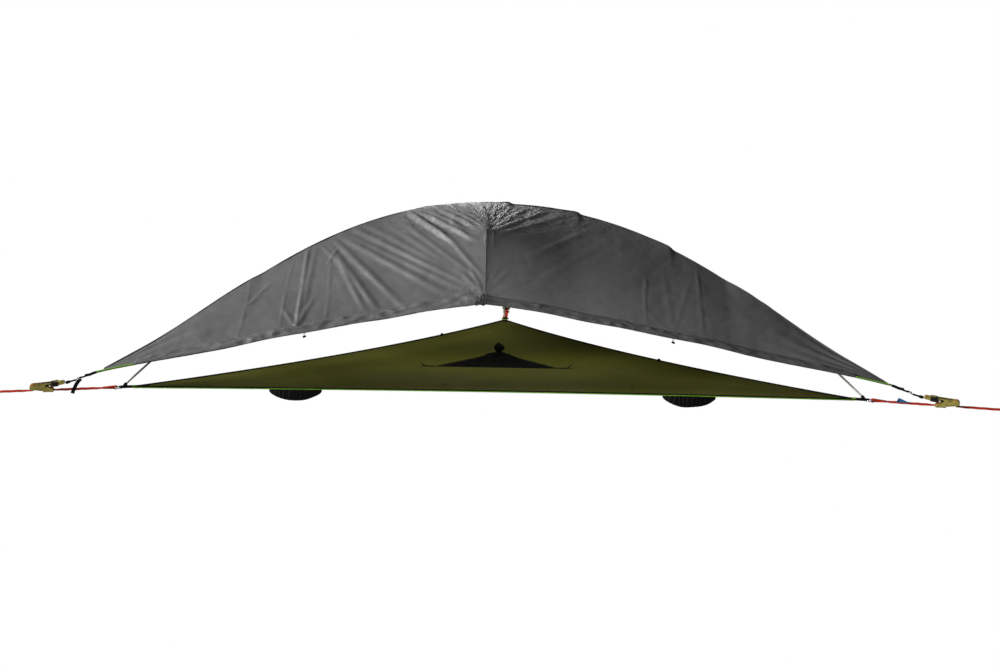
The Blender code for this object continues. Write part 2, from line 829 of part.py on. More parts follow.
def ridge_seam_point(share):
    """Rear seam over the ridge pole, from the far tip at 0 to the crown at 1."""
    tip = tip_point(far)
    y = tip.y + (crown.y - tip.y) * share
    leave = straight_seam_share
    spot = ridge_point(min(y, far_foot.y))
    height = spot.z + fly_lift + ridge_slack * (1 - share) + pole_crossing_drop * share ** 4
    if share < leave:
        edge = ridge_point(tip.y + (crown.y - tip.y) * leave).z + fly_lift
        straight = tip.z + (edge - tip.z) * share / leave
        height = max(height, straight)
    return Vector((crown.x * share, y, height))


def panel(corner, foot, rear):
    """Grid of one fly panel: rows from its hem to the crest, columns from the side tip to its seam."""
    grid = []
    for i in range(fly_columns + 1):
        u = i / fly_columns
        crest = crest_point(corner, foot, 1 - u)
        hem = side_hem_point(corner, 1 - u) if rear else near_hem_point(corner, foot, 1 - u)
        line = []
        for j in range(fly_rows + 1):
            v = j / fly_rows
            seam = ridge_seam_point(v) if rear else seam_point(v)
            ends = (ridge_seam_point(0), ridge_seam_point(1)) if rear else (seam_point(0), seam_point(1))
            bulge = seam - ends[0].lerp(ends[1], v)
            line.append(hem.lerp(crest, v) + bulge * u ** 2)
        grid.append(line)
    return grid


def build_fly():
    """One cloth of four panels that meet on the crest and on the front and rear seams."""
    bm = bmesh.new()
    for corner, foot in ((left, left_foot), (right, right_foot)):
        for rear in (False, True):
            grid = panel(corner, foot, rear)
            rows = [[bm.verts.new(point) for point in line] for line in grid]
            for one, two in zip(rows, rows[1:]):
                for j in range(fly_rows):
                    bm.faces.new((one[j], one[j + 1], two[j + 1], two[j]))
    bmesh.ops.remove_doubles(bm, verts=bm.verts, dist=clearance / 3)
    bmesh.ops.recalc_face_normals(bm, faces=bm.faces)
    if sum(face.normal.z for face in bm.faces) < 0:
        bmesh.ops.reverse_faces(bm, faces=bm.faces)
    mesh = bpy.data.meshes.new("fly")
    bm.to_mesh(mesh)
    bm.free()
    cloth = place("fly_sheet", mesh, coated_ripstop)
    wall = cloth.modifiers.new("wall", "SOLIDIFY")
    wall.thickness = fly_thickness
    wall.offset = 0.0


def build_guys():
    """From each fly tip: a strap, a bar ring and a wire hook round the handle's end bar."""
    guy_hole = guy_ring_rod + clearance
    guy_eye = guy_hole + webbing_thickness
    start = Vector((tip_reach + clearance * 4, 0, tip_height))
    inner_bar = Vector((guy_ring_reach, 0, guy_ring_height))
    fall = (inner_bar - start).normalized()
    loop = rounded_loop(guy_ring_half, guy_ring_spacing, guy_ring_corner)
    lean = Matrix.Rotation(atan2(-fall.z, fall.x), 4, "Y")
    outer_bar = inner_bar + fall * guy_ring_spacing
    bar = Vector((handle_end_reach, 0, handle_end_height))
    wrap = guy_ring_rod + clearance + hook_wire
    catch = handle_bar + clearance + hook_wire
    for corner in corners:
        ring = sweep(loop, [guy_ring_rod] * len(loop), sides=6, closed=True)
        ring.transform(lean)
        middle = inner_bar + fall * guy_ring_spacing / 2
        place("guy_ring_" + corner.name, ring, plain_steel, corner.empty, middle)
        half = guy_width / 2
        strap = ribbon([start, inner_bar - fall * guy_hole], (0, 1, 0), guy_width, webbing_thickness)
        eye = prism(circle((inner_bar.x, inner_bar.z), guy_eye, 12), -half, half)
        strap = join(strap, eye)
        if corner is left:
            side = webbing_width / 2 + tail_thickness
            top_height = guy_ring_height - guy_hole - tail_thickness
            top = Vector((guy_ring_reach, half - tail_thickness / 2, top_height))
            foot = Vector((tail_reach, side, tail_foot))
            bend = Vector((tail_reach - tail_width / 4, side, guy_ring_height * tail_bend_share))
            turn = top.lerp(bend, tail_bend_share)
            turn.x = top.x + tail_width / 5
            strap = join(strap, ribbon([top, turn, bend, foot], (1, 0, 0), tail_width, tail_thickness))
        hole = prism(circle((inner_bar.x, inner_bar.z), guy_hole, 12), -half - overrun, half + overrun)
        strap = cut(strap, hole)
        place("guy_strap_" + corner.name, strap, black_webbing, corner.empty)
        heading = atan2((bar - outer_bar).z, (bar - outer_bar).x)
        points = []
        wrap_start, wrap_run = ring_wrap_shares
        for n in range(hook_steps + 1):
            turn = heading + pi * (wrap_start + wrap_run * n / hook_steps)
            points.append(outer_bar + Vector((cos(turn), 0, sin(turn))) * wrap)
        for n in range(hook_steps + 1):
            turn = bar_wrap_share * pi * (n / hook_steps - 1)
            points.append(bar + Vector((cos(turn), 0, sin(turn))) * catch)
        hook = sweep(points, [hook_wire] * len(points), sides=6)
        place("guy_hook_" + corner.name, hook, black_plastic, corner.empty)


def build_toggles():
    """Small stopper hanging from the near hem on each side."""
    for corner, foot in ((left, left_foot), (right, right_foot)):
        tip = tip_point(corner)
        column = round((1 - toggle_place / abs(tip.x)) * fly_columns)
        spot = near_hem_point(corner, foot, 1 - column / fly_columns)
        top = spot - Vector((0, 0, fly_thickness + clearance))
        points = [top - Vector((0, 0, toggle_length * down)) for down, _ in toggle_shares]
        sizes = [toggle_radius * share for _, share in toggle_shares]
        place("hem_toggle_" + corner.name, sweep(points, sizes), black_plastic)


def build_tent_strap():
    """Webbing from the anchor ring's outer bar to the ratchet's fixed bolt, with an eye at each end."""
    half = webbing_width / 2
    section = rectangle((ring_outer_bar + ring_hole, -strap_top), (bolt_reach - bolt_radius, strap_top))
    band = prism(section, -half, half)
    eyes = [
        prism(circle((ring_outer_bar, 0), ring_hole + eye_wall), -half, half),
        prism(circle((bolt_reach, 0), bolt_radius + clearance + webbing_thickness), -half, half),
    ]
    holes = [
        prism(circle((ring_outer_bar, 0), ring_hole), -half - overrun, half + overrun),
        prism(circle((bolt_reach, 0), bolt_radius + clearance), -half - overrun, half + overrun),
    ]
    return cut(join(band, *eyes), *holes)


def build_tree_strap():
    """Webbing from under the spool to a sewn loop with a flat end, where the tree's sling goes through."""
    half = webbing_width / 2
    wall = eye_wall
    centre = strap_reach - strap_loop_half - wall
    throat = (centre - strap_loop_half, 0)
    throat_half = strap_loop_height * throat_share
    belly = (centre + strap_loop_half / 2, 0)
    end = belly[0] + strap_loop_height + wall
    band = prism(rectangle((spool_reach - webbing_thickness, -strap_top), (centre, strap_top)), -half, half)
    outer = hull(throat, throat_half + wall, belly, strap_loop_height + wall)
    inner = hull(throat, throat_half, belly, strap_loop_height)
    end_block = rectangle((centre, -strap_loop_height - wall), (end, strap_loop_height + wall))
    end_hole = rectangle((centre, -strap_loop_height), (end - wall, strap_loop_height))
    solid = join(band, prism(outer, -half, half), prism(end_block, -half, half))
    wide = half + overrun
    return cut(solid, prism(inner, -wide, wide), prism(end_hole, -wide, wide))


def build_frame():
    """Two side plates on a riveted bolt and a bridge, with spool bearings, pawl slots and handle pivots."""
    bolt = (bolt_reach, 0)
    spool = (spool_reach, spool_height)
    outline = hull(bolt, bolt_boss, spool, spool_boss)
    bridge_low = (bolt_reach + bridge_start, -bridge_drop)
    bridge_high = (bridge_low[0] + bridge_length, bridge_low[1] + plate)
    pieces = []
    for way in (-1, 1):
        low, high = sorted((way * frame_inside, way * (frame_inside + plate)))
        pieces.append(prism(outline, low, high))
        low, high = sorted((way * (frame_inside + plate / 2), way * (frame_outside + bolt_head)))
        pieces.append(prism(circle(bolt, bolt_head_radius, 12), low, high))
        low, high = sorted((way * (frame_inside + plate / 2), way * (pivot_head_inside + pivot_head / 2)))
        pieces.append(prism(circle(spool, pivot_radius), low, high))
        low, high = sorted((way * pivot_head_inside, way * (pivot_head_inside + pivot_head)))
        pieces.append(prism(circle(spool, pivot_head_radius), low, high))
    inside = frame_inside + plate / 2
    pieces.append(prism(circle(bolt, bolt_radius, 16), -inside, inside))
    pieces.append(prism(rectangle(bridge_low, bridge_high), -inside, inside))
    solid = join(*pieces)
    wide = frame_outside + overrun
    bearing = prism(circle(spool, mandrel_radius + clearance), -frame_outside, frame_outside)
    tip = lock_pawl_tip()
    slot_start = tip - lock_pawl_length - pawl_travel - clearance
    slot_half = pawl_thickness / 2 + clearance
    slot = rectangle(
        (slot_start, lock_pawl_height() - slot_half), (tip + clearance, lock_pawl_height() + slot_half),
    )
    return cut(solid, bearing, prism(slot, -wide, wide))


def lock_pawl_height():
    return spool_height - lock_pawl_drop


def lock_pawl_tip():
    return spool_reach - sqrt(wheel_tip ** 2 - (lock_pawl_drop - pawl_thickness / 2) ** 2) - clearance


def build_lock_pawl():
    """Flat sliding pawl across both side plates, its tip just off the wheels' teeth."""
    tip = lock_pawl_tip()
    wide = frame_outside
    low = (tip - lock_pawl_length, lock_pawl_height() - pawl_thickness / 2)
    high = (tip, lock_pawl_height() + pawl_thickness / 2)
    return prism(rectangle(low, high), -wide, wide)


def build_spool():
    """Slotted mandrel with a toothed wheel near each end, on its own axis."""
    wide = frame_outside - clearance
    pieces = [prism(circle((0, 0), mandrel_radius, 16), -wide, wide)]
    teeth = []
    for n in range(wheel_teeth):
        turn = 2 * pi * n / wheel_teeth
        teeth.append((wheel_tip * cos(turn), wheel_tip * sin(turn)))
        turn += pi / (4 * wheel_teeth)
        teeth.append((wheel_root * cos(turn), wheel_root * sin(turn)))
    for way in (-1, 1):
        low, high = sorted((way * wheel_inside, way * (wheel_inside + plate)))
        pieces.append(prism(teeth, low, high))
    solid = join(*pieces)
    half = (webbing_width + clearance) / 2
    slot = rectangle((-mandrel_radius - overrun, -slot_width / 2), (mandrel_radius + overrun, slot_width / 2))
    return cut(solid, prism(slot, -half, half))


def build_winding():
    """Webbing wound on the mandrel as one unbroken spiral."""
    count = winding_turns * winding_steps
    bm = bmesh.new()
    half = webbing_width / 2
    rows = []
    for n in range(count + 1):
        turn = 2 * pi * n / winding_steps - pi / 2
        radius = winding_start + winding_pitch * n / winding_steps
        row = []
        for side, skin in ((-half, -1), (half, -1), (half, 1), (-half, 1)):
            size = radius + skin * winding_thickness / 2
            row.append(bm.verts.new((size * cos(turn), side, size * sin(turn))))
        rows.append(row)
    for low, high in zip(rows, rows[1:]):
        for n in range(4):
            m = (n + 1) % 4
            bm.faces.new((low[n], low[m], high[m], high[n]))
    bm.faces.new(rows[0])
    bm.faces.new(rows[-1])
    step = pi / winding_steps
    print("least gap in the winding:", winding_pitch * cos(step) - winding_thickness)
    return mesh_from(bm, "winding")


handle_run = Vector((handle_reach, handle_end_height - spool_height))
handle_length = handle_run.length
handle_tilt = atan2(handle_run.y, handle_run.x)
handle_web_end = handle_length - handle_web_inset
handle_web_start = handle_web_end - handle_web_length
handle_window_end = handle_web_start - handle_window_room


def settle_handle(mesh):
    """Turn a shape drawn along the handle, from the spool outward along X, to its closed place."""
    mesh.transform(Matrix.Rotation(handle_tilt, 4, "Y") @ Matrix.Diagonal((-1, 1, 1, 1)))
    mesh.flip_normals()
    return mesh


def drive_pawl_tip():
    low = drive_pawl_rise - pawl_thickness / 2
    return sqrt(wheel_tip ** 2 - low ** 2) + clearance


def build_handle():
    """Side plates outside the wheels, joined by a web and an end bar, with windows and pawl slots."""
    end = (handle_length, 0)
    outline = hull((0, 0), handle_boss, end, handle_end_boss)
    pieces = []
    for way in (-1, 1):
        low, high = sorted((way * handle_inside, way * (handle_inside + plate)))
        pieces.append(prism(outline, low, high))
    inside = handle_inside + plate / 2
    pieces.append(prism(circle(end, handle_bar, 12), -inside, inside))
    web_top = handle_end_boss
    web = rectangle((handle_web_start, web_top - plate), (handle_web_end, web_top))
    pieces.append(prism(web, -inside, inside))
    solid = join(*pieces)
    wide = handle_inside + plate + overrun
    window = hull(
        (handle_window_start, -handle_window_half / 4), handle_window_half,
        (handle_window_end, -handle_window_half / 4), handle_window_half,
    )
    slot_half = pawl_thickness / 2 + clearance
    slot_end = drive_ear_start + drive_ear_length + pawl_travel + clearance
    slot = rectangle(
        (drive_ear_start - clearance, drive_pawl_rise - slot_half), (slot_end, drive_pawl_rise + slot_half),
    )
    bearing = prism(circle((0, 0), pivot_radius + clearance), -wide, wide)
    return settle_handle(cut(solid, bearing, prism(window, -wide, wide), prism(slot, -wide, wide)))


def build_drive_pawl():
    """Sliding pawl with ears in the handle's slots and a finger tab between the plates."""
    low = drive_pawl_rise - pawl_thickness / 2
    high = drive_pawl_rise + pawl_thickness / 2
    wide = wheel_inside + plate
    ear = handle_inside + plate + plate / 2
    tip = drive_pawl_tip()
    tab_end = handle_web_start - pawl_travel - finger_room
    blade_end = tab_end - drive_tab_length
    blade = prism(rectangle((tip, low), (blade_end, high)), -wide, wide)
    ears = prism(rectangle((drive_ear_start, low), (drive_ear_start + drive_ear_length, high)), -ear, ear)
    section = rectangle((blade_end - overrun, high - drive_tab_height), (tab_end, high))
    tab = prism(section, -drive_tab_half, drive_tab_half)
    return settle_handle(join(blade, ears, tab))


def build_ratchets():
    """One ratchet and its webbing at each corner; like pieces share one mesh."""
    shapes = {
        "tent_strap": (build_tent_strap(), red_webbing, (0, 0, 0)),
        "tree_strap": (build_tree_strap(), red_webbing, (0, 0, 0)),
        "ratchet_frame": (build_frame(), yellow_zinc, (0, 0, 0)),
        "lock_pawl": (build_lock_pawl(), plain_steel, (0, 0, 0)),
        "ratchet_spool": (build_spool(), yellow_zinc, (spool_reach, 0, spool_height)),
        "strap_winding": (build_winding(), red_webbing, (spool_reach, 0, spool_height)),
        "ratchet_handle": (build_handle(), yellow_zinc, (spool_reach, 0, spool_height)),
        "drive_pawl": (build_drive_pawl(), black_plastic, (spool_reach, 0, spool_height)),
    }
    for corner in corners:
        for name, (mesh, material, spot) in shapes.items():
            place(name + "_" + corner.name, mesh, material, corner.empty, spot)


build_floor()
build_edge_webbing()
build_piping()
build_corners()
build_hatch()
build_pockets()
build_poles()
build_fly()
build_guys()
build_toggles()
build_ratchets()
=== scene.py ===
"""Looks of a tree tent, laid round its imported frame: cloth, webbing, poles, ratchets, camera and stage."""

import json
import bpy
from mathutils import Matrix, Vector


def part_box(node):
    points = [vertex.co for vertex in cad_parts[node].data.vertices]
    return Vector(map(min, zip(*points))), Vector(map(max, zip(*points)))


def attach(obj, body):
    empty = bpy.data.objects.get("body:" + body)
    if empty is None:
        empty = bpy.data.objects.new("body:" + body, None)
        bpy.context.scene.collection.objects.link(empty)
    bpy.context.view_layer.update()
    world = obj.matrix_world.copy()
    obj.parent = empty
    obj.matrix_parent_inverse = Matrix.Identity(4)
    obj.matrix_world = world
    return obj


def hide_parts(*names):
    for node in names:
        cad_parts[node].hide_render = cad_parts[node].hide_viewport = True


bl_info = {
    "name": "Tree tent",
    "version": (1, 0, 0),
    "blender": (4, 5, 0),
    "location": "3D View > Sidebar > Tree tent",
    "description": "Builds a three-cornered tent slung between trees, round its frame",
    "category": "Add Mesh",
}

from math import atan2, cos, exp, hypot, pi, radians, sin

import bmesh
import bpy
from bpy.props import FloatProperty, FloatVectorProperty, PointerProperty
from mathutils import Matrix, Vector, noise

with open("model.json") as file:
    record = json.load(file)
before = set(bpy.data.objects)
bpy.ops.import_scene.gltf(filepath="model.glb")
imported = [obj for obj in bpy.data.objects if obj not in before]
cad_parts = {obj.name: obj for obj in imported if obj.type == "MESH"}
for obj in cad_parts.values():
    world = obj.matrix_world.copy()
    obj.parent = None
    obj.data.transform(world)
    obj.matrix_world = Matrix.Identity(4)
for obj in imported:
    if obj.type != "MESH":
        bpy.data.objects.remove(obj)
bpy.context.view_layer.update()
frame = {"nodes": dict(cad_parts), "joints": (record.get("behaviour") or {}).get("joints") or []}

# Distances along a corner's strap line, measured outward from its anchor ring, as in the frame
spool_reach = 0.460
bolt_reach = 0.360
strap_reach = 0.798
tip_reach = 0.120
tip_height = 0.088
tip_half = 0.014
guy_ring_reach = 0.212
guy_ring_height = 0.0610
handle_end_reach = 0.300
handle_end_height = 0.040
cup_inset = 0.024
foot_height = 0.0124
corner_cut = 0.070

# Rod, webbing and cloth thicknesses
webbing_width = 0.035
webbing_thickness = 0.002
guy_width = 0.025
ring_rod = 0.0035
ring_spacing = 0.026
ring_half = 0.0255
ring_corner = 0.007
guy_ring_rod = 0.002
guy_ring_spacing = 0.016
guy_ring_half = 0.0185
guy_ring_corner = 0.005
pole_radius = 0.005
handle_bar = 0.0040
hook_wire = 0.0025
clearance = 0.0003
floor_top = 0.0006
edge_top = 0.0031
# The poles' sleeves and paint make them a little thicker than the bare tube
pole_swell_share = 1.15
# Where the ridge pole's two lengths end, in front of the crown
ridge_rear_end = 0.022
ridge_front_end = 0.0224
# Collars where sections of a cross pole meet, as shares of its half, and half a collar's length
collar_places = (0.25, 0.5, 0.75)
collar_half_share = 0.012
# How far a strap rolls out of level between its ends: rise over width
strap_roll_share = 0.13
# Webbing wound on a spool
winding_turns = 3
winding_inner = 0.00925
winding_pitch = 0.0023
# Webbing patch of a corner: how far in it starts, its length, and where its lower run starts
patch_reach = 0.150
patch_run = 0.146
patch_turn = 0.004
# Small loops on the floor's edges: where each stands in plan and how its edge runs there
edge_loop_places = [(-0.266, -0.43, 0.0), (0.780, -0.421, 0.0), (-0.407, 1.331, 2.2), (1.0, 0.48, -2.2)]

# Guys, along and above a strap line: start at the fly's tip, near and far bar of the ring, and the way down
guy_start = (tip_reach + 0.0012, tip_height)
guy_inner_bar = (guy_ring_reach, guy_ring_height)
guy_fall = Vector((guy_inner_bar[0] - guy_start[0], 0, guy_inner_bar[1] - guy_start[1])).normalized()
guy_outer_bar = (
    guy_inner_bar[0] + guy_fall.x * guy_ring_spacing, guy_inner_bar[1] + guy_fall.z * guy_ring_spacing,
)

# Fly: how far each part of it stands from the poles and the hems
pole_arch_power = 2.1
brow_setback = -0.180
fly_lift = 0.0125
ridge_slack = 0.006
pole_crossing_drop = 0.0103
seam_foot_offset = -0.045
seam_slack = 0.007
brow_lift = 0.012
brow_reach = 0.014
crest_contact_share = 0.66
crest_shares = [(0.70, 0.540), (0.76, 0.462), (0.82, 0.377), (0.88, 0.292), (0.94, 0.214), (1.0, 0.145)]
near_hem_shares = [
    (0.0, 1.0), (0.05, 0.975), (0.15, 0.91), (0.25, 0.82), (0.34, 0.755), (0.45, 0.66),
    (0.55, 0.585), (0.68, 0.460), (0.78, 0.385), (0.86, 0.330), (0.93, 0.280), (1.0, 0.225),
]
straight_seam_share = 0.20
brow_share = 0.5
# The seam's bend spreads over this share of a panel's height, this share of its length away from the seam
bend_spread = 0.34
bend_reach = 0.22
bend_samples = [(n / 4, (1 - abs(n) / 5) / 5) for n in range(-4, 5)]
# Steps of the right crest, in the photograph's columns: where each starts to rise, stands highest and ends
crest_step_pixels = [(494, 508.5, 560), (560, 577, 640), (640, 669, 740)]
step_rise = 0.0062
step_fall_pixels = 5.0
step_power = 9
trim_height = 0.008

# The photograph's camera, in its own 1000 by 667 frame
photo_size = (1000, 667)
camera_place = Vector((0.2647, -8.2834, 1.5806))
camera_yaw = -0.0287
camera_pitch = 0.1605
camera_roll = 0.0116
focal_pixels = 1432.0
sensor_width = 36.0

# How deep each kind of fold and crinkle is drawn in the fly, in metres
sag_depth = 0.006
drawn_depth = 0.0022
crinkle_depth = 0.0042
fine_depth = 0.0010
rear_fan_depth = 0.0045
crown_fan_depth = 0.004
front_fan_depth = 0.003
seam_ridge_left = 0.0035
seam_ridge_right = 0.0018
small_fold_left = 0.0050
small_fold_right = 0.0024
# Cloth this close to a fan's centre stays smooth, in metres
fan_quiet = 0.12
# Share of the fine crinkles that the right panel shows
right_panel_calm = 0.6
# Relief fades toward the hem and the crest, over these shares of a panel's height
hem_quiet_share = 0.06
crest_quiet_share = 0.10
# How far the near panels may sink: over a pole, and more this far from the crest and from the brow
sink_at_pole = 0.0012
sink_elsewhere = 0.0040
pole_near_share = 0.12
brow_near_reach = 0.14
# How far the hem band's elastic lets it bulge
band_bulge = 0.0105

# Where the fold tables below change strength, in the photograph's pixels
brow_pixel = (490, 227)
brow_fold_rows = (216, 245)
seam_column = 495
far_column = 620
small_fold_reach = 90
small_fold_drop = 6
# Strength of the tabled folds over their height: at the brow, and elsewhere left and right of the seam
brow_fold_left = 3.7
brow_fold_right = 0.9
fold_left = 1.4
fold_right = 0.45
fold_far_right = 0.35
# Folds of the near panels where the photograph shows them: two ends, half width and height, in pixels and mm
fold_pixels = [
    ((404, 211), (452, 241), 2.2, 7), ((452, 241), (483, 277), 2.2, 5), ((411, 209), (472, 238), 1.8, 6),
    ((395, 217), (482, 281), 2.2, 5), ((384, 221), (480, 284), 2.6, 4), ((350, 227), (478, 289), 2.4, 7),
    ((362, 222), (480, 286), 2.6, 4), ((337, 235), (440, 290), 3.0, 7), ((342, 233), (472, 293), 2.2, 5),
    ((331, 237), (402, 305), 3.2, 6), ((330, 246), (378, 310), 3.2, 6), ((339, 262), (364, 309), 2.8, 5),
    ((309, 247), (303, 285), 2.2, 7), ((303, 285), (296, 328), 2.0, 7), ((315, 250), (300, 322), 3.0, 4),
    ((322, 246), (338, 262), 1.6, 5), ((338, 250), (328, 264), 1.6, 4), ((296, 328), (283, 308), 2.0, 4),
    ((296, 328), (313, 300), 2.4, 4), ((253, 300), (270, 285), 1.6, 3), ((246, 306), (262, 296), 1.6, 3),
    ((420, 208), (462, 228), 1.6, 6), ((429, 206), (476, 228), 1.6, 6), ((440, 205), (484, 228), 1.5, 6),
    ((452, 204), (487, 227), 1.4, 5), ((466, 204), (489, 226), 1.3, 5), ((480, 204), (490, 225), 1.3, 4),
    ((496, 206), (491, 226), 1.2, 6), ((512, 206), (493, 226), 1.3, 4), ((530, 207), (494, 228), 1.4, 5),
    ((550, 210), (495, 230), 1.5, 6), ((573, 214), (500, 234), 1.8, 6), ((582, 232), (539, 253), 2.4, 5),
    ((600, 226), (520, 262), 3.2, 4), ((568, 255), (542, 264), 1.8, 3), ((610, 240), (536, 282), 3.4, 3),
    ((484, 294), (556, 287), 2.0, 4), ((484, 293), (545, 276), 2.0, 3), ((484, 293), (510, 270), 1.8, 4),
    ((484, 293), (500, 264), 1.6, 4), ((483, 292), (470, 268), 1.6, 4), ((482, 292), (462, 274), 1.8, 5),
    ((484, 295), (530, 297), 1.8, 4), ((646, 277), (644, 309), 1.6, 4), ((644, 309), (672, 334), 1.8, 3),
    ((697, 272), (701, 334), 1.6, 3), ((662, 262), (673, 332), 3.0, 3), ((690, 280), (674, 333), 2.4, 3),
    ((486, 232), (487, 246), 1.0, 4), ((494, 231), (493, 246), 1.0, 4), ((489, 236), (487, 248), 0.9, -4),
    ((527, 234), (520, 300), 30, 12), ((444, 287), (472, 292), 1.1, -9), ((470, 291), (478, 298), 1.0, -8),
    ((486, 293.5), (508, 297.5), 1.1, -9), ((330, 342), (360, 318), 2.0, 3), ((400, 306), (440, 298), 2.0, 4),
    ((476, 290), (456, 297), 2.0, 6),
]
# Sewn seams that cross the near panels, as runs of pixels
seam_pixels = [
    [(251, 282), (246, 308), (237, 340)], [(293.5, 260), (286, 289), (280, 328)],
    [(330.5, 263), (329, 292), (325, 323)], [(646, 277), (645, 300), (647, 326)],
    [(697, 272), (700, 300), (704, 336)],
]


def linear(code):
    """Turn an sRGB hex colour into linear values."""
    channels = [int(code[place:place + 2], 16) / 255 for place in (1, 3, 5)]
    return [c / 12.92 if c <= 0.04045 else ((c + 0.055) / 1.055) ** 2.4 for c in channels]


def length_property(name, description, default):
    """A length in metres, shown in the panel."""
    return FloatProperty(name=name, description=description, default=default, min=0.0, unit="LENGTH")


def strength_property(name, description, default):
    """A number from 0 up, shown in the panel."""
    return FloatProperty(name=name, description=description, default=default, min=0.0)


def colour_property(name, description, code):
    """A colour from its sRGB hex value, shown in the panel."""
    return FloatVectorProperty(
        name=name, description=description, default=linear(code), subtype="COLOR", min=0.0, max=1.0,
    )


class TreeTentSizes(bpy.types.PropertyGroup):
    """Sizes of the cloth and what is sewn on it."""

    near_hem_height: length_property("Near hem height", "Height of the near hem at its seam", 0.475)
    near_hem_bow: length_property("Near hem bow", "How far the near hem bows inward", 0.173)
    side_hem_height: length_property("Side hem height", "Rise of each rear hem at its middle", 0.170)
    side_hem_bow: length_property("Side hem bow", "How far each rear hem bows inward", 0.060)
    band_height: length_property("Hem band", "Height of the gathered elastic band on the near hem", 0.074)
    ruffle_pitch: length_property("Ruffle pitch", "Distance between the band's gathers", 0.086)
    ruffle_depth: length_property("Ruffle depth", "How far the band's gathers stand out", 0.0110)
    fly_thickness: length_property("Fly cloth", "Thickness of the fly with its coating", 0.0008)
    near_edge_sag: length_property("Near edge bow", "How far the floor's near edge bows inward", 0.055)
    side_edge_sag: length_property("Side edge bow", "How far the floor's side edges bow inward", 0.140)
    edge_webbing: length_property("Edge webbing", "Width of the webbing sewn round the floor", 0.025)
    piping_radius: length_property("Piping", "Radius of the green piping round the floor", 0.003)
    hatch_base: length_property("Hatch hinge", "Distance of the hatch's hinge from the centre", 0.195)
    hatch_top: length_property("Hatch top", "Distance of the hatch's far end from the centre", 0.620)
    hatch_base_half: length_property("Hatch half width", "Half the hatch's width at its hinge", 0.358)
    hatch_top_half: length_property("Hatch end half", "Half the hatch's width at its far end", 0.048)
    bundle_place: length_property("Bundle place", "Distance of the tied bundle from the centre", 0.565)
    bundle_height: length_property("Bundle height", "Height of the tied bundle of mesh", 0.090)
    bundle_radius: length_property("Bundle radius", "Radius of the bundle at its foot", 0.034)
    pocket_place: length_property("Pocket place", "Distance of each pocket from the middle", 1.085)
    pocket_width: length_property("Pocket width", "Width of each mesh pocket", 0.290)
    pocket_depth: length_property("Pocket depth", "How deep each pocket hangs", 0.062)
    pocket_mouth: length_property("Pocket mouth", "How wide each pocket's mouth gapes", 0.034)


class TreeTentColours(bpy.types.PropertyGroup):
    """Colours of the cloth, webbing and metal."""

    fly: colour_property("Fly", "Grey coated ripstop", "#626262")
    floor: colour_property("Floor", "Olive ripstop", "#434414")
    webbing: colour_property("Black webbing", "Black polyester webbing", "#0D0D0D")
    mesh: colour_property("Mesh", "Black insect mesh", "#070706")
    piping: colour_property("Piping", "Lime green piping and trim", "#8BCB30")
    strap: colour_property("Strap", "Orange-red strap webbing", "#D2381C")
    zinc: colour_property("Ratchet", "Yellow zinc plated steel", "#CFC068")
    steel: colour_property("Steel", "Bright steel", "#CFCFCB")
    pole: colour_property("Pole", "Grey anodised tube", "#D2D2C8")
    plastic: colour_property("Plastic", "Black moulded plastic", "#121212")
    tag: colour_property("Tag", "Blue strap tag", "#3F7FB4")


class TreeTentStage(bpy.types.PropertyGroup):
    """Ground and lamps."""

    ground_depth: length_property("Ground", "Depth of the ground under the tent", 3.2)
    ground_size: length_property("Ground size", "Side of the ground", 60.0)
    ground_tone: strength_property("Ground tone", "How much light the ground returns", 0.30)
    ambient: strength_property("Ambient", "Strength of the sky", 0.06)
    sun: strength_property("Sun", "Strength of the sun, low on the left", 4.0)
    roof: strength_property("Roof light", "Strength of the lamp that grazes the roof", 104.0)
    side: strength_property("Side light", "Strength of the soft lamp on the left", 165.0)
    glance: strength_property("Seam light", "Strength of the lamp by the front seam", 1.5)
    fill: strength_property("Fill", "Strength of the soft lamp in front", 106.0)
    inside: strength_property("Inside", "Light that comes through the fly, for each square metre", 3.6)


def sizes():
    """Sizes set in the panel."""
    return bpy.context.scene.tree_tent_sizes


def colours():
    """Colours set in the panel."""
    return bpy.context.scene.tree_tent_colours


def stage_settings():
    """Ground and lamp values set in the panel."""
    return bpy.context.scene.tree_tent_stage


def add(tree, kind, inputs=None, **settings):
    """Add a node, give it its settings, and fill its inputs with values or other nodes' outputs."""
    node = tree.nodes.new(kind)
    for key, value in settings.items():
        setattr(node, key, value)
    for key, value in (inputs or {}).items():
        if isinstance(value, bpy.types.NodeSocket):
            tree.links.new(value, node.inputs[key])
        else:
            node.inputs[key].default_value = value
    return node


def blank_material(name):
    """A material with only its shader and output, ready for its pattern."""
    material = bpy.data.materials.new(name)
    material.use_nodes = True
    return material, material.node_tree, material.node_tree.nodes["Principled BSDF"]


def ramp_between(tree, factor, low, high):
    """Mix of two colours, or of outputs that carry them, by a factor between 0 and 1."""
    ends = [end if isinstance(end, bpy.types.NodeSocket) else list(end) + [1.0] for end in (low, high)]
    # A colour mix keeps its factor, its two colours and its result in these sockets
    mix = add(tree, "ShaderNodeMix", {0: factor, 6: ends[0], 7: ends[1]}, data_type="RGBA")
    return mix.outputs[2]


def shade(colour, share):
    """The same colour, lighter or darker by a share."""
    return [min(1.0, channel * share) for channel in colour]


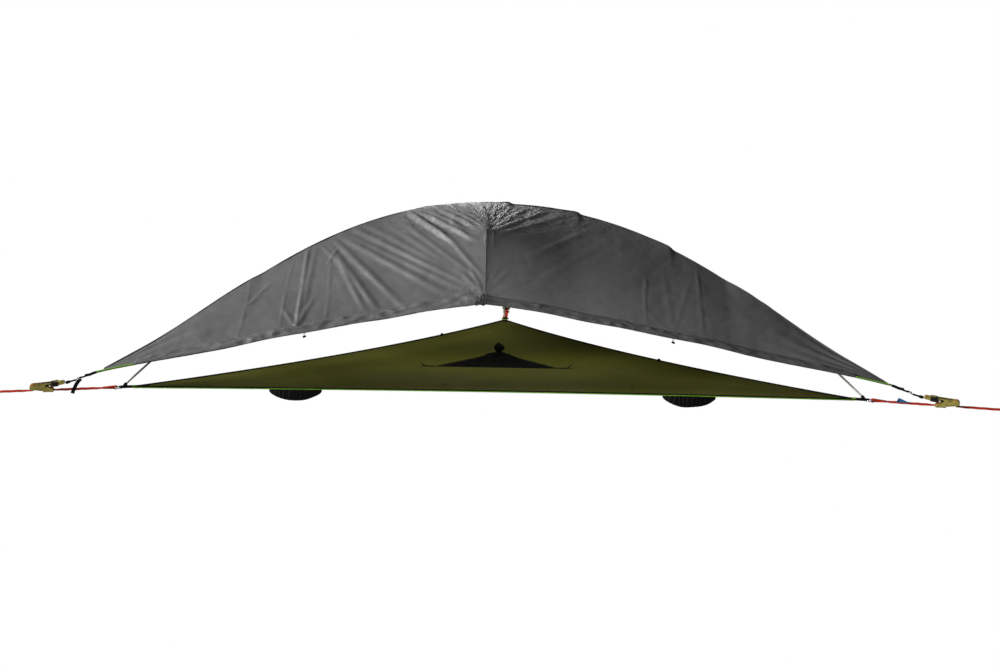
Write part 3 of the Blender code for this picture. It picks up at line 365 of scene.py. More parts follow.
def roof_crinkles(tree, place):
    """Sharp small crinkles, strongest near the crown; above the brow they run out from it."""
    sharp = add(
        tree, "ShaderNodeTexNoise",
        {"Vector": place, "Scale": 15.0, "Detail": 5.0, "Roughness": 0.55, "Distortion": 0.4},
        noise_type="RIDGED_MULTIFRACTAL",
    )
    roof = add(tree, "ShaderNodeMapRange", {
        "Value": add(tree, "ShaderNodeSeparateXYZ", {"Vector": place}).outputs["Z"],
        "From Min": 0.80, "From Max": 0.93, "To Min": 0.04, "To Max": 1.0,
    })
    ray = add(tree, "ShaderNodeVectorMath", {0: place, 1: tuple(brow_point())}, operation="SUBTRACT")
    parts = add(tree, "ShaderNodeSeparateXYZ", {"Vector": ray.outputs[0]})
    turn = add(tree, "ShaderNodeMath", {0: parts.outputs["X"], 1: parts.outputs["Y"]}, operation="ARCTAN2")
    away = add(tree, "ShaderNodeVectorMath", {0: ray.outputs[0]}, operation="LENGTH")
    polar = add(tree, "ShaderNodeCombineXYZ", {
        "X": add(tree, "ShaderNodeMath", {0: turn.outputs[0], 1: 11.0}, operation="MULTIPLY").outputs[0],
        "Y": add(tree, "ShaderNodeMath", {0: away.outputs["Value"], 1: 9.0}, operation="MULTIPLY").outputs[0],
    })
    radial = add(
        tree, "ShaderNodeTexNoise",
        {"Vector": polar.outputs[0], "Scale": 1.0, "Detail": 4.0, "Roughness": 0.6, "Distortion": 0.5},
    )
    both = add(
        tree, "ShaderNodeMath", {0: radial.outputs["Fac"], 1: 2.2, 2: sharp.outputs["Fac"]},
        operation="MULTIPLY_ADD",
    )
    faded = add(tree, "ShaderNodeMath", {0: both.outputs[0], 1: roof.outputs["Result"]}, operation="MULTIPLY")
    return faded.outputs[0]


def coated_ripstop(name, colour, roughness, coat, grid=0.006, crinkle=1.0):
    """Ripstop nylon with a polyurethane coat: a fine thread grid, soft creases and a broad sheen."""
    material, tree, shader = blank_material(name)
    uv = add(tree, "ShaderNodeTexCoord").outputs["UV"]
    place = add(tree, "ShaderNodeTexCoord").outputs["Object"]
    # The real grid is 5 mm; thicker threads keep it visible from a step away
    cells = add(
        tree, "ShaderNodeTexBrick", {
            "Vector": uv, "Color1": (1, 1, 1, 1), "Color2": (1, 1, 1, 1), "Mortar": (0, 0, 0, 1),
            "Scale": 1.0, "Mortar Size": grid / 9, "Mortar Smooth": 0.6,
            "Brick Width": grid, "Row Height": grid,
        }, offset=0.0,
    )
    clouds = add(tree, "ShaderNodeTexNoise", {"Vector": place, "Scale": 3.2, "Detail": 5.0, "Roughness": 0.6})
    tone = add(tree, "ShaderNodeMapRange", {"Value": clouds.outputs["Fac"], "From Min": 0.3, "From Max": 0.7})
    base = ramp_between(tree, tone.outputs["Result"], shade(colour, 0.88), shade(colour, 1.12))
    thread = ramp_between(tree, cells.outputs["Fac"], base, shade(colour, 1.22))
    tree.links.new(thread, shader.inputs["Base Color"])
    creases = add(
        tree, "ShaderNodeTexNoise",
        {"Vector": place, "Scale": 34.0, "Detail": 6.0, "Roughness": 0.62, "Distortion": 0.6},
    )
    # Long streaks that run toward the side tips
    stretched = add(tree, "ShaderNodeVectorMath", {0: place, 1: (4.0, 14.0, 34.0)}, operation="MULTIPLY")
    streaks = add(
        tree, "ShaderNodeTexNoise",
        {"Vector": stretched.outputs[0], "Scale": 1.0, "Detail": 5.0, "Roughness": 0.6},
    )
    normal = {}
    for height, strength, distance in (
        (streaks.outputs["Fac"], 0.45 * crinkle, 0.007), (roof_crinkles(tree, place), 0.75, 0.013),
        (creases.outputs["Fac"], 0.2, 0.004), (cells.outputs["Fac"], 0.25, 0.0004),
    ):
        relief = {"Height": height, "Strength": strength, "Distance": distance, **normal}
        normal = {"Normal": add(tree, "ShaderNodeBump", relief).outputs["Normal"]}
    tree.links.new(normal["Normal"], shader.inputs["Normal"])
    gloss = add(
        tree, "ShaderNodeMapRange",
        {"Value": clouds.outputs["Fac"], "To Min": roughness - 0.06, "To Max": roughness + 0.08},
    )
    tree.links.new(gloss.outputs["Result"], shader.inputs["Roughness"])
    shader.inputs["IOR"].default_value = 1.5
    shader.inputs["Specular IOR Level"].default_value = coat
    return material


def woven_webbing(name, colour, roughness=0.72, rib=0.0024):
    """Flat polyester webbing: ribs across its length and a herringbone of yarns, with random wear and painted
    light: raised yarns paler, the weave's hollows darker.
    """
    material, tree, shader = blank_material(name)
    uv = add(tree, "ShaderNodeTexCoord").outputs["UV"]
    place = add(tree, "ShaderNodeTexCoord").outputs["Object"]
    split = add(tree, "ShaderNodeSeparateXYZ", {"Vector": uv})
    # Ribs are 1.2 mm on the real strap and drawn twice as coarse, so that they show
    ribs = add(tree, "ShaderNodeMath", {0: split.outputs["X"], 1: 2 * pi / rib}, operation="MULTIPLY")
    yarns = add(tree, "ShaderNodeMath", {0: split.outputs["Y"], 1: 2 * pi / rib}, operation="MULTIPLY")
    one = add(tree, "ShaderNodeMath", {0: ribs.outputs[0]}, operation="SINE")
    two = add(tree, "ShaderNodeMath", {0: yarns.outputs[0]}, operation="SINE")
    weave = add(tree, "ShaderNodeMath", {0: one.outputs[0], 1: two.outputs[0]}, operation="MULTIPLY")
    height = add(tree, "ShaderNodeMath", {0: weave.outputs[0], 1: 0.5, 2: 0.5}, operation="MULTIPLY_ADD")
    wear = add(tree, "ShaderNodeTexNoise", {"Vector": place, "Scale": 90.0, "Detail": 4.0, "Roughness": 0.65})
    # Colour follows the weave's height times random wear: painted highlight on raised yarns, painted shade in
    # the hollows
    tone = add(tree, "ShaderNodeMath", {0: wear.outputs["Fac"], 1: height.outputs[0]}, operation="MULTIPLY")
    wide = add(tree, "ShaderNodeMapRange", {"Value": tone.outputs[0], "From Min": 0.05, "From Max": 0.6})
    colour_out = ramp_between(tree, wide.outputs["Result"], shade(colour, 0.62), shade(colour, 1.2))
    tree.links.new(colour_out, shader.inputs["Base Color"])
    bump = add(tree, "ShaderNodeBump", {"Height": height.outputs[0], "Strength": 0.5, "Distance": 0.0006})
    tree.links.new(bump.outputs["Normal"], shader.inputs["Normal"])
    shader.inputs["Roughness"].default_value = roughness
    shader.inputs["Specular IOR Level"].default_value = 0.2
    return material


def insect_mesh(name, colour, hole=0.0022):
    """Knitted insect mesh: dark yarn round small holes, through which nothing pale shows; the holes are
    painted darker than the yarn, as painted shade seen through them.
    """
    material, tree, shader = blank_material(name)
    uv = add(tree, "ShaderNodeTexCoord").outputs["UV"]
    place = add(tree, "ShaderNodeTexCoord").outputs["Object"]
    # Real holes are 1 mm; they are drawn twice as wide to show at all
    cells = {"Vector": uv, "Scale": 1 / hole, "Randomness": 0.25}
    holes = add(tree, "ShaderNodeTexVoronoi", cells, feature="F1")
    edge = {"Value": holes.outputs["Distance"], "From Min": 0.15, "From Max": 0.5}
    shape = add(tree, "ShaderNodeMapRange", edge).outputs["Result"]
    dust = add(tree, "ShaderNodeTexNoise", {"Vector": place, "Scale": 14.0, "Detail": 4.0})
    # Yarn paler, holes darker, times random dust: painted shade in the holes and painted light on the raised
    # yarn
    lit = add(tree, "ShaderNodeMath", {0: shape, 1: dust.outputs["Fac"]}, operation="MULTIPLY")
    yarn = ramp_between(tree, lit.outputs[0], shade(colour, 0.45), shade(colour, 2.0))
    tree.links.new(yarn, shader.inputs["Base Color"])
    bump = add(tree, "ShaderNodeBump", {"Height": shape, "Strength": 0.5, "Distance": 0.0005})
    tree.links.new(bump.outputs["Normal"], shader.inputs["Normal"])
    shader.inputs["Roughness"].default_value = 0.78
    shader.inputs["Specular IOR Level"].default_value = 0.25
    return material


def plated_steel(name, colour, roughness, mottle, grain=420.0, metallic=1.0):
    """Pressed steel with a thin plated skin: metallic, faintly clouded, with fine drawing marks."""
    material, tree, shader = blank_material(name)
    place = add(tree, "ShaderNodeTexCoord").outputs["Object"]
    blotches = {"Vector": place, "Scale": 60.0, "Detail": 5.0, "Roughness": 0.6}
    clouds = add(tree, "ShaderNodeTexNoise", blotches).outputs["Fac"]
    tone = add(tree, "ShaderNodeMapRange", {"Value": clouds, "From Min": 0.32, "From Max": 0.68})
    dull = (1.0 - mottle, 1.0 - 1.2 * mottle, 1.0 - 1.5 * mottle)
    low = [channel * share for channel, share in zip(colour, dull)]
    tree.links.new(ramp_between(tree, tone.outputs["Result"], low, colour), shader.inputs["Base Color"])
    fine = add(tree, "ShaderNodeTexNoise", {"Vector": place, "Scale": grain, "Detail": 3.0})
    bump = add(tree, "ShaderNodeBump", {"Height": fine.outputs["Fac"], "Strength": 0.12, "Distance": 0.0004})
    tree.links.new(bump.outputs["Normal"], shader.inputs["Normal"])
    span = {"To Min": roughness - 0.08, "To Max": roughness + 0.1}
    gloss = add(tree, "ShaderNodeMapRange", {"Value": clouds, **span})
    tree.links.new(gloss.outputs["Result"], shader.inputs["Roughness"])
    shader.inputs["Metallic"].default_value = metallic
    return material


def moulded_plastic(name, colour, roughness=0.42):
    """Moulded nylon or acetal: a fine spark-eroded grain under a dull gloss."""
    material, tree, shader = blank_material(name)
    place = add(tree, "ShaderNodeTexCoord").outputs["Object"]
    grain = add(tree, "ShaderNodeTexNoise", {"Vector": place, "Scale": 900.0, "Detail": 2.0})
    bump = add(tree, "ShaderNodeBump", {"Height": grain.outputs["Fac"], "Strength": 0.15, "Distance": 0.0002})
    tree.links.new(bump.outputs["Normal"], shader.inputs["Normal"])
    worn = add(tree, "ShaderNodeTexNoise", {"Vector": place, "Scale": 70.0, "Detail": 4.0})
    tone = add(tree, "ShaderNodeMapRange", {"Value": worn.outputs["Fac"], "From Min": 0.35, "From Max": 0.75})
    skin = ramp_between(tree, tone.outputs["Result"], shade(colour, 0.85), shade(colour, 1.5))
    tree.links.new(skin, shader.inputs["Base Color"])
    shader.inputs["Roughness"].default_value = roughness
    return material


materials = {}


def make_materials():
    """Make every finish once, from the panel's colours."""
    tint = colours()
    materials.update({
        # Coated grey cloth: a broad soft sheen, broken up by creases
        "coated_ripstop": coated_ripstop("polyurethane_coated_ripstop", list(tint.fly), 0.47, 0.45),
        # The same cloth a third darker: painted shade for the right hem band, the hem's pleats and the seam
        # bindings
        "painted_shade_ripstop": coated_ripstop("ripstop_darkened_as_painted_shade", shade(tint.fly, 0.66), 0.5, 0.4),
        # Uncoated taut cloth: a dull olive with hardly any gloss
        "floor_ripstop": coated_ripstop("floor_ripstop_nylon", list(tint.floor), 0.7, 0.1, crinkle=0.3),
        # Woven polyester: matt, with a fine rib; its raised yarns are painted paler and its hollows darker,
        # as painted light
        "black_webbing": woven_webbing("black_polyester_webbing", list(tint.webbing)),
        # Knitted mesh: nearly black, its yarn painted just paler than the holes, which hold painted shade
        "black_mesh": insect_mesh("knitted_insect_mesh", list(tint.mesh)),
        # Woven tape over a cord: a bright matt line
        "green_piping": woven_webbing("lime_corded_piping", list(tint.piping), roughness=0.6, rib=0.0016),
        # Woven polyester in a strong orange-red, a little smoother than the black
        "red_webbing": woven_webbing("orange_polyester_webbing", list(tint.strap), roughness=0.6),
        # Pressed steel with a yellow chromate skin: clouded brass tones under a half gloss
        "yellow_zinc": plated_steel("yellow_zinc_plated_steel", list(tint.zinc), 0.34, 0.30, metallic=0.4),
        # Forged or bent bar, plated bright: clean grey highlights
        "plain_steel": plated_steel("bright_steel", list(tint.steel), 0.28, 0.08, metallic=0.6),
        # Drawn tube with an anodised and painted skin: an even grey, dull gloss
        "pole_alloy": plated_steel(
            "grey_anodised_alloy", list(tint.pole), 0.42, 0.1, grain=700.0, metallic=0.1,
        ),
        # Braided sheath: matt black with a tiny rib
        "shock_cord": woven_webbing("elastic_cord_sheath", list(tint.plastic), roughness=0.7, rib=0.0008),
        # Moulded nylon: black with a dull gloss and a fine grain
        "black_plastic": moulded_plastic("black_moulded_nylon", list(tint.plastic)),
        # Woven label tape: flat blue
        "blue_tag": woven_webbing("blue_woven_tag", list(tint.tag), roughness=0.6, rib=0.001),
    })


def photo_frame():
    """Right, up and forward of the photograph's camera."""
    forward = Vector((
        sin(camera_yaw) * cos(camera_pitch), cos(camera_yaw) * cos(camera_pitch), -sin(camera_pitch),
    ))
    level = forward.cross(Vector((0, 0, 1))).normalized()
    upright = level.cross(forward)
    right = level * cos(camera_roll) + upright * sin(camera_roll)
    up = upright * cos(camera_roll) - level * sin(camera_roll)
    return right, up, forward


camera_axes = photo_frame()


def photo_pixel(point):
    """Where a place in the frame lands in the photograph."""
    right, up, forward = camera_axes
    ray = point - camera_place
    depth = ray.dot(forward)
    return (
        photo_size[0] / 2 + focal_pixels * ray.dot(right) / depth,
        photo_size[1] / 2 - focal_pixels * ray.dot(up) / depth,
    )


def ease(value):
    """Smooth step from 0 to 1."""
    value = min(1.0, max(0.0, value))
    return value * value * (3 - 2 * value)


def curve_value(shares, value):
    """Read a table of shares at a value, along a smooth curve through its rows."""
    value = min(max(value, shares[0][0]), shares[-1][0])
    for n in range(len(shares) - 1):
        if value <= shares[n + 1][0]:
            break
    (x0, y0), (x1, y1) = shares[n], shares[n + 1]
    before = shares[n - 1] if n else shares[n]
    after = shares[n + 2] if n + 2 < len(shares) else shares[n + 1]
    slope0 = (y1 - before[1]) / (x1 - before[0])
    slope1 = (after[1] - y0) / (after[0] - x0)
    span = x1 - x0
    t = (value - x0) / span
    return (
        y0 * (1 + 2 * t) * (1 - t) ** 2 + slope0 * span * t * (1 - t) ** 2
        + y1 * t * t * (3 - 2 * t) + slope1 * span * t * t * (t - 1)
    )


class Corner:
    """One anchor corner: u runs outward along its strap, v across it and z up, from the anchor ring."""

    def __init__(self, name):
        self.name = name
        joint = next(joint for joint in frame["joints"] if joint["name"] == "spool_turn_" + name)
        spool = Vector((joint["pos_m"][0], joint["pos_m"][1], 0))
        self.out = spool.normalized()
        self.across = Vector((-self.out.y, self.out.x, 0))
        self.spot = spool - self.out * spool_reach
        self.spool_height = joint["pos_m"][2]

    def world(self, u, v=0.0, z=0.0):
        return self.spot + self.out * u + self.across * v + Vector((0, 0, z))


corners = {name: Corner(name) for name in ("left", "right", "far")}
left, right, far = corners.values()
feet = {name: corner.world(-cup_inset, 0, foot_height) for name, corner in corners.items()}
clip_low, clip_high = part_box("pole_crossing_clip")
crown = Vector(((clip_low.x + clip_high.x) / 2, (clip_low.y + clip_high.y) / 2, clip_high.z))
ridge_crown = crown - Vector((0, 0, pole_crossing_drop))


def settle(piece, body, nodes=(), *, finish):
    """Give a finished piece its body, the nodes that it stands for and its material."""
    piece.data.materials.clear()
    piece.data.materials.append(materials[finish])
    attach(piece, body)
    if nodes:
        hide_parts(*nodes)
    return piece


def piece_from(bm, name, smooth=True):
    """Hand a shape over as an object at the origin."""
    mesh = bpy.data.meshes.new(name)
    bm.to_mesh(mesh)
    bm.free()
    piece = bpy.data.objects.new(name, mesh)
    bpy.context.scene.collection.objects.link(piece)
    if smooth:
        mesh.shade_smooth()
    return piece


def grid_shape(columns, rows, spot, cut):
    """A grid shaped by spot(u, v), its weave laid out over the cut's size in metres."""
    bm = bmesh.new()
    bmesh.ops.create_grid(bm, x_segments=columns, y_segments=rows, size=0.5, calc_uvs=True)
    weave = bm.loops.layers.uv.verify()
    rise = bm.verts.layers.float.new("rise")
    for face in bm.faces:
        for loop in face.loops:
            loop[weave].uv = ((loop.vert.co.x + 0.5) * cut[0], (loop.vert.co.y + 0.5) * cut[1])
    for vert in bm.verts:
        vert[rise] = vert.co.y + 0.5
        vert.co = spot(vert.co.x + 0.5, vert.co.y + 0.5)
    return bm


def thicken(piece, thickness, bevel=0.0):
    """Give a sheet its wall, half on each side, with its rim closed."""
    wall = piece.modifiers.new("wall", "SOLIDIFY")
    wall.thickness = thickness
    wall.offset = 0.0
    wall.use_even_offset = True
    if bevel:
        edge = piece.modifiers.new("edge", "BEVEL")
        edge.width = bevel
        edge.segments = 2
        edge.limit_method = "ANGLE"
    return piece


def path_frames(points):
    """Tangent and a carried side direction at each point of a path."""
    count = len(points)
    tangents = [(points[min(n + 1, count - 1)] - points[max(n - 1, 0)]).normalized() for n in range(count)]
    side = tangents[0].orthogonal().normalized()
    frames = []
    for tangent in tangents:
        side = (side - tangent * side.dot(tangent)).normalized()
        frames.append((tangent, side))
    return frames


def smooth_path(points, steps=6):
    """A rounded path through a few points."""
    ends = [points[0] * 2 - points[1]] + list(points) + [points[-1] * 2 - points[-2]]
    result = []
    for n in range(1, len(ends) - 2):
        a, b, c, d = ends[n - 1:n + 3]
        for k in range(steps):
            t = k / steps
            bend = (a * 2 - b * 5 + c * 4 - d) * t * t
            result.append((b * 2 + (c - a) * t + bend + (b * 3 - a - c * 3 + d) * t ** 3) * 0.5)
    result.append(points[-1].copy())
    return result


def rod(name, points, radius, closed=False, sides=5):
    """A round bar or cord along a path, one curve with a round bevel."""
    curve = bpy.data.curves.new(name, "CURVE")
    curve.dimensions = "3D"
    curve.bevel_depth = radius
    curve.bevel_resolution = sides
    curve.use_fill_caps = True
    spline = curve.splines.new("POLY")
    spline.points.add(len(points) - 1)
    for target, point in zip(spline.points, points):
        target.co = (*point, 1.0)
    spline.use_cyclic_u = closed
    spline.use_smooth = True
    piece = bpy.data.objects.new(name, curve)
    bpy.context.scene.collection.objects.link(piece)
    bpy.context.view_layer.update()
    mesh = bpy.data.meshes.new_from_object(piece.evaluated_get(bpy.context.evaluated_depsgraph_get()))
    bpy.data.objects.remove(piece)
    solid = bpy.data.objects.new(name, mesh)
    bpy.context.scene.collection.objects.link(solid)
    mesh.shade_smooth()
    mesh.set_sharp_from_angle(angle=radians(50))
    return solid


def strap(name, points, across, width, thickness, columns=4, bow=0.0, bevel=0.0004):
    """A flat strap along a path of points: across is its width direction, or one for each point."""
    run = [0.0]
    for one, two in zip(points, points[1:]):
        run.append(run[-1] + (two - one).length)
    frames = path_frames(points)
    wide = across if isinstance(across, list) else [across] * len(points)
    steps = len(points) - 1

    def spot(u, v):
        n = min(steps, round(u * steps))
        tangent = frames[n][0]
        side = (wide[n] - tangent * wide[n].dot(tangent)).normalized()
        rise = tangent.cross(side) * bow * (1 - (2 * v - 1) ** 2)
        return points[n] + side * (v - 0.5) * width + rise

    bm = grid_shape(steps, columns, spot, (run[-1], width))
    piece = piece_from(bm, name)
    thicken(piece, thickness, bevel=bevel)
    piece.data.set_sharp_from_angle(angle=radians(50))
    return piece


def joined(name, pieces):
    """Make several mesh pieces one, with their modifiers applied."""
    bm = bmesh.new()
    bpy.context.view_layer.update()
    depsgraph = bpy.context.evaluated_depsgraph_get()
    for piece in pieces:
        mesh = bpy.data.meshes.new_from_object(piece.evaluated_get(depsgraph))
        bm.from_mesh(mesh)
        bpy.data.meshes.remove(mesh)
        bpy.data.objects.remove(piece)
    result = piece_from(bm, name)
    result.data.set_sharp_from_angle(angle=radians(40))
    return result


def arch_point(foot, share):
    """Cross pole's half, from its crown at 0 to its foot at 1."""
    rise = 1 - share ** pole_arch_power
    return Vector((
        crown.x + (foot.x - crown.x) * share,
        foot.y + (crown.y - foot.y) * rise,
        foot.z + (crown.z - foot.z) * rise,
    ))


def ridge_point(y):
    """Ridge pole at one place along the tent's depth."""
    beyond = (y - crown.y) / (feet["far"].y - crown.y)
    height = ridge_crown.z - (ridge_crown.z - feet["far"].z) * abs(beyond) ** pole_arch_power
    return Vector((crown.x * (1 - beyond) if y > crown.y else crown.x, y, height))


def tip_point(corner, side=0.0):
    """Side tip of the fly at a corner, or one of its edges."""
    return corner.world(tip_reach, side * tip_half, tip_height)


def crest_point(corner, share):
    """Crest of the fly over the cross pole, from the crown at 0 to the side tip at 1."""
    foot = feet[corner.name]
    tip = tip_point(corner)
    x = crown.x + (tip.x - crown.x) * share
    span = (x - crown.x) / (foot.x - crown.x)
    reach = (tip.x - crown.x) / (foot.x - crown.x)
    start = arch_point(foot, min(span, crest_contact_share)) + Vector((0, 0, fly_lift))
    if span <= crest_contact_share:
        return start
    contact = [(place, 1 - place ** pole_arch_power) for place in (0.54, 0.60, crest_contact_share)]
    last = crest_shares[-1][1]
    end_share = (tip.z - fly_lift - foot.z) / (crown.z - foot.z)
    rise = curve_value(contact + crest_shares + [(reach, min(end_share, last))], span)
    height = foot.z + (crown.z - foot.z) * rise + fly_lift
    along = (span - crest_contact_share) / (reach - crest_contact_share)
    return Vector((x, start.y + (tip.y - start.y) * along, height))


def crest_step(corner, share):
    """Height of the crest's small steps, where sections of the cross pole meet under the cloth."""
    if corner is not right:
        return 0.0
    column = photo_pixel(crest_point(corner, share))[0]
    height = 0.0
    for start, top, end in crest_step_pixels:
        if start < column <= top:
            height = step_rise * ease((column - start) / (top - start))
        elif top < column < end:
            fall = ease((column - top) / step_fall_pixels)
            height = step_rise * (1 - fall) - step_rise * fall * (1 - (column - top) / (end - top))
    return height


def near_hem_point(corner, share):
    """Near hem, from its seam at 0 to the side tip at 1."""
    way = -1 if corner is left else 1
    tip = tip_point(corner, -way)
    high = sizes().near_hem_height
    x = seam_foot_offset + (tip.x - seam_foot_offset) * share
    height = high * curve_value(near_hem_shares, share)
    height += (tip.z - high * near_hem_shares[-1][1]) * share ** 4
    return Vector((x, tip.y + sizes().near_hem_bow * (1 - share ** 2), height))


def side_hem_point(corner, share):
    """Hem of a rear panel, from the far tip at 0 to the side tip at 1."""
    way = -1 if corner is left else 1
    start = tip_point(far)
    end = tip_point(corner, way)
    middle = 4 * share * (1 - share)
    inward = Vector((-way * (start.y - end.y), -abs(end.x - start.x), 0)).normalized()
    point = start.lerp(end, share) + inward * sizes().side_hem_bow * middle
    point.z += sizes().side_hem_height * middle
    return point


def brow_point():
    """Where the ridge pole's tip holds the front seam out."""
    return ridge_point(brow_setback) + Vector((0, -brow_reach, brow_lift))


def seam_point(share):
    """Front seam, from the hem at 0 over the ridge pole's tip to the crown at 1."""
    foot = Vector((seam_foot_offset, near_hem_point(right, 0).y, sizes().near_hem_height))
    brow = brow_point()
    if share <= brow_share:
        point = foot.lerp(brow, share / brow_share)
        return point + Vector((0, -seam_slack, 0)) * sin(pi * share / brow_share)
    along = (share - brow_share) / (1 - brow_share)
    y = brow.y + (crown.y - brow.y) * along
    top = ridge_point(max(y, brow_setback)).z + fly_lift + pole_crossing_drop * along ** 2
    return Vector((crown.x, y, max(top, brow.z)))


def ridge_seam_point(share):
    """Rear seam over the ridge pole, from the far tip at 0 to the crown at 1."""
    tip = tip_point(far)
    y = tip.y + (crown.y - tip.y) * share
    height = ridge_point(min(y, feet["far"].y)).z + fly_lift + ridge_slack * (1 - share)
    height += pole_crossing_drop * share ** 4
    if share < straight_seam_share:
        edge = ridge_point(tip.y + (crown.y - tip.y) * straight_seam_share).z + fly_lift
        height = max(height, tip.z + (edge - tip.z) * share / straight_seam_share)
    return Vector((crown.x * share, y, height))


def seam_bulge(seam, v):
    """How far a seam stands off the straight line between its ends; odd beyond each end."""
    if v < 0:
        return -seam_bulge(seam, -v)
    if v > 1:
        return -seam_bulge(seam, 2 - v)
    return seam(v) - seam(0).lerp(seam(1), v)


def panel_point(corner, rear, u, v):
    """Fly panel: u from its side tip to its seam, v from its hem to the crest."""
    crest = crest_point(corner, 1 - u)
    hem = side_hem_point(corner, 1 - u) if rear else near_hem_point(corner, 1 - u)
    seam = ridge_seam_point if rear else seam_point
    # The seam's sharp bend rounds out in the cloth, further from the seam
    spread = bend_spread * min(1.0, (1 - u) / bend_reach)
    bulge = Vector((0, 0, 0))
    for share, weight in bend_samples:
        bulge += seam_bulge(seam, v + spread * share) * weight
    step = Vector((0, 0, crest_step(corner, 1 - u) * max(0.0, v) ** step_power))
    return hem.lerp(crest, v) + bulge * u ** 2 + step


def crease(pixel, start, end, half_width):
    """Height of one fold at a pixel, as a share: a ridge with a shallow trough each side."""
    run = (end[0] - start[0], end[1] - start[1])
    size = hypot(*run)
    away = (pixel[0] - start[0], pixel[1] - start[1])
    along = (away[0] * run[0] + away[1] * run[1]) / size ** 2
    if not -0.15 < along < 1.15:
        return 0.0
    off = (away[0] * run[1] - away[1] * run[0]) / size / half_width
    if abs(off) > 4:
        return 0.0
    fade = ease((along + 0.15) / 0.4) * ease((1.15 - along) / 0.4)
    return fade * (1 - 0.55 * off * off) * exp(-off * off / 1.6)


def seam_relief(pixel, run):
    """Share of a sewn seam's ridge at a pixel."""
    best = 0.0
    for start, end in zip(run, run[1:]):
        best = max(best, crease(pixel, start, end, 0.9))
    return best


def fan_relief(point, origin, spokes, reach, seed):
    """Tension folds that run out from a point where the cloth is held, as a share of their depth."""
    ray = point - origin
    distance = ray.length
    if distance > reach:
        return 0.0
    angle = atan2(ray.y, ray.x)
    wander = noise.noise(Vector((angle * 2.0, distance * 1.5, seed))) * 1.6
    fade = ease((distance - fan_quiet) / (0.22 * reach)) * ease((reach - distance) / (0.7 * reach))
    return sin(angle * spokes + wander * 3) * fade


def fold_strength(start, end):
    """How strongly one fold is drawn: the lit left panel and the brow show theirs most."""
    column = max(start[0], end[0])
    if start[1] < brow_fold_rows[0] and end[1] < brow_fold_rows[1]:
        return brow_fold_left if column < seam_column else brow_fold_right
    if column > seam_column:
        return fold_far_right if column > far_column else fold_right
    return fold_left


def brow_folds(pixel):
    """Small folds that run out from the brow, above it, in metres."""
    distance = hypot(pixel[0] - brow_pixel[0], pixel[1] - brow_pixel[1])
    lowest = brow_pixel[1] + small_fold_drop
    if distance >= small_fold_reach or pixel[1] >= lowest:
        return 0.0
    turn = atan2(brow_pixel[1] - pixel[1], pixel[0] - brow_pixel[0])
    wander = noise.noise(Vector((turn * 3, distance / 18, 2))) * 2.2
    depth = small_fold_left if pixel[0] < brow_pixel[0] else small_fold_right
    height = (abs(sin(turn * 15 + wander)) - 0.6) * depth
    height *= ease(distance / 14)
    height *= ease((small_fold_reach - distance) / 40)
    return height * ease((lowest - pixel[1]) / 8)


def front_folds(point):
    """Folds of a near panel at one point, where the photograph shows them, in metres."""
    height = 0.0
    pixel = photo_pixel(point)
    for start, end, half_width, tall in fold_pixels:
        fold = crease(pixel, start, end, half_width)
        if fold:
            height += fold * tall * fold_strength(start, end) / 1000
    height += brow_folds(pixel)
    for run in seam_pixels:
        height += seam_relief(pixel, run) * (seam_ridge_right if run[0][0] > seam_column else seam_ridge_left)
    for name in ("left", "right"):
        height += fan_relief(point, tip_point(corners[name]), 40, 0.9, 40) * front_fan_depth
    return height


def rear_folds(point):
    """Tension folds of a rear panel at one point, in metres."""
    height = 0.0
    for name, spokes in (("left", 46), ("right", 46), ("far", 38)):
        height += fan_relief(point, tip_point(corners[name]), spokes, 1.9, spokes) * rear_fan_depth
    return height + fan_relief(point, crown, 14, 0.9, 5) * crown_fan_depth


def fly_relief(point, rear, rise):
    """How far the fly stands out from its smooth form at one point, in metres."""
    sag = noise.noise(point * 1.7 + Vector((3, 1, 4))) * sag_depth
    drawn = noise.noise(Vector((point.x * 5.5, point.y * 2.0, point.z * 9.0))) * drawn_depth
    crinkle = abs(noise.noise(Vector((point.x * 8.0, point.y * 6.0, point.z * 13.0)))) * crinkle_depth
    fine = noise.noise(point * 23.0) * fine_depth
    near_hem = 0.25 + 0.75 * ease(rise / hem_quiet_share)
    if rear:
        return (rear_folds(point) + sag + drawn + crinkle) * near_hem + fine
    calm = right_panel_calm if point.x > seam_foot_offset else 1.0
    height = front_folds(point) * (0.35 + 0.65 * ease((1 - rise) / crest_quiet_share))
    total = (height + sag + drawn + crinkle * calm) * near_hem
    if total < 0:
        # Over a pole the cloth can hardly sink, elsewhere a little
        off_brow = ease((point - brow_point()).length / brow_near_reach)
        deepest = sink_at_pole + sink_elsewhere * ease((1 - rise) / pole_near_share) * off_brow
        total = -deepest * (1 - exp(total / deepest))
    return total + fine * calm


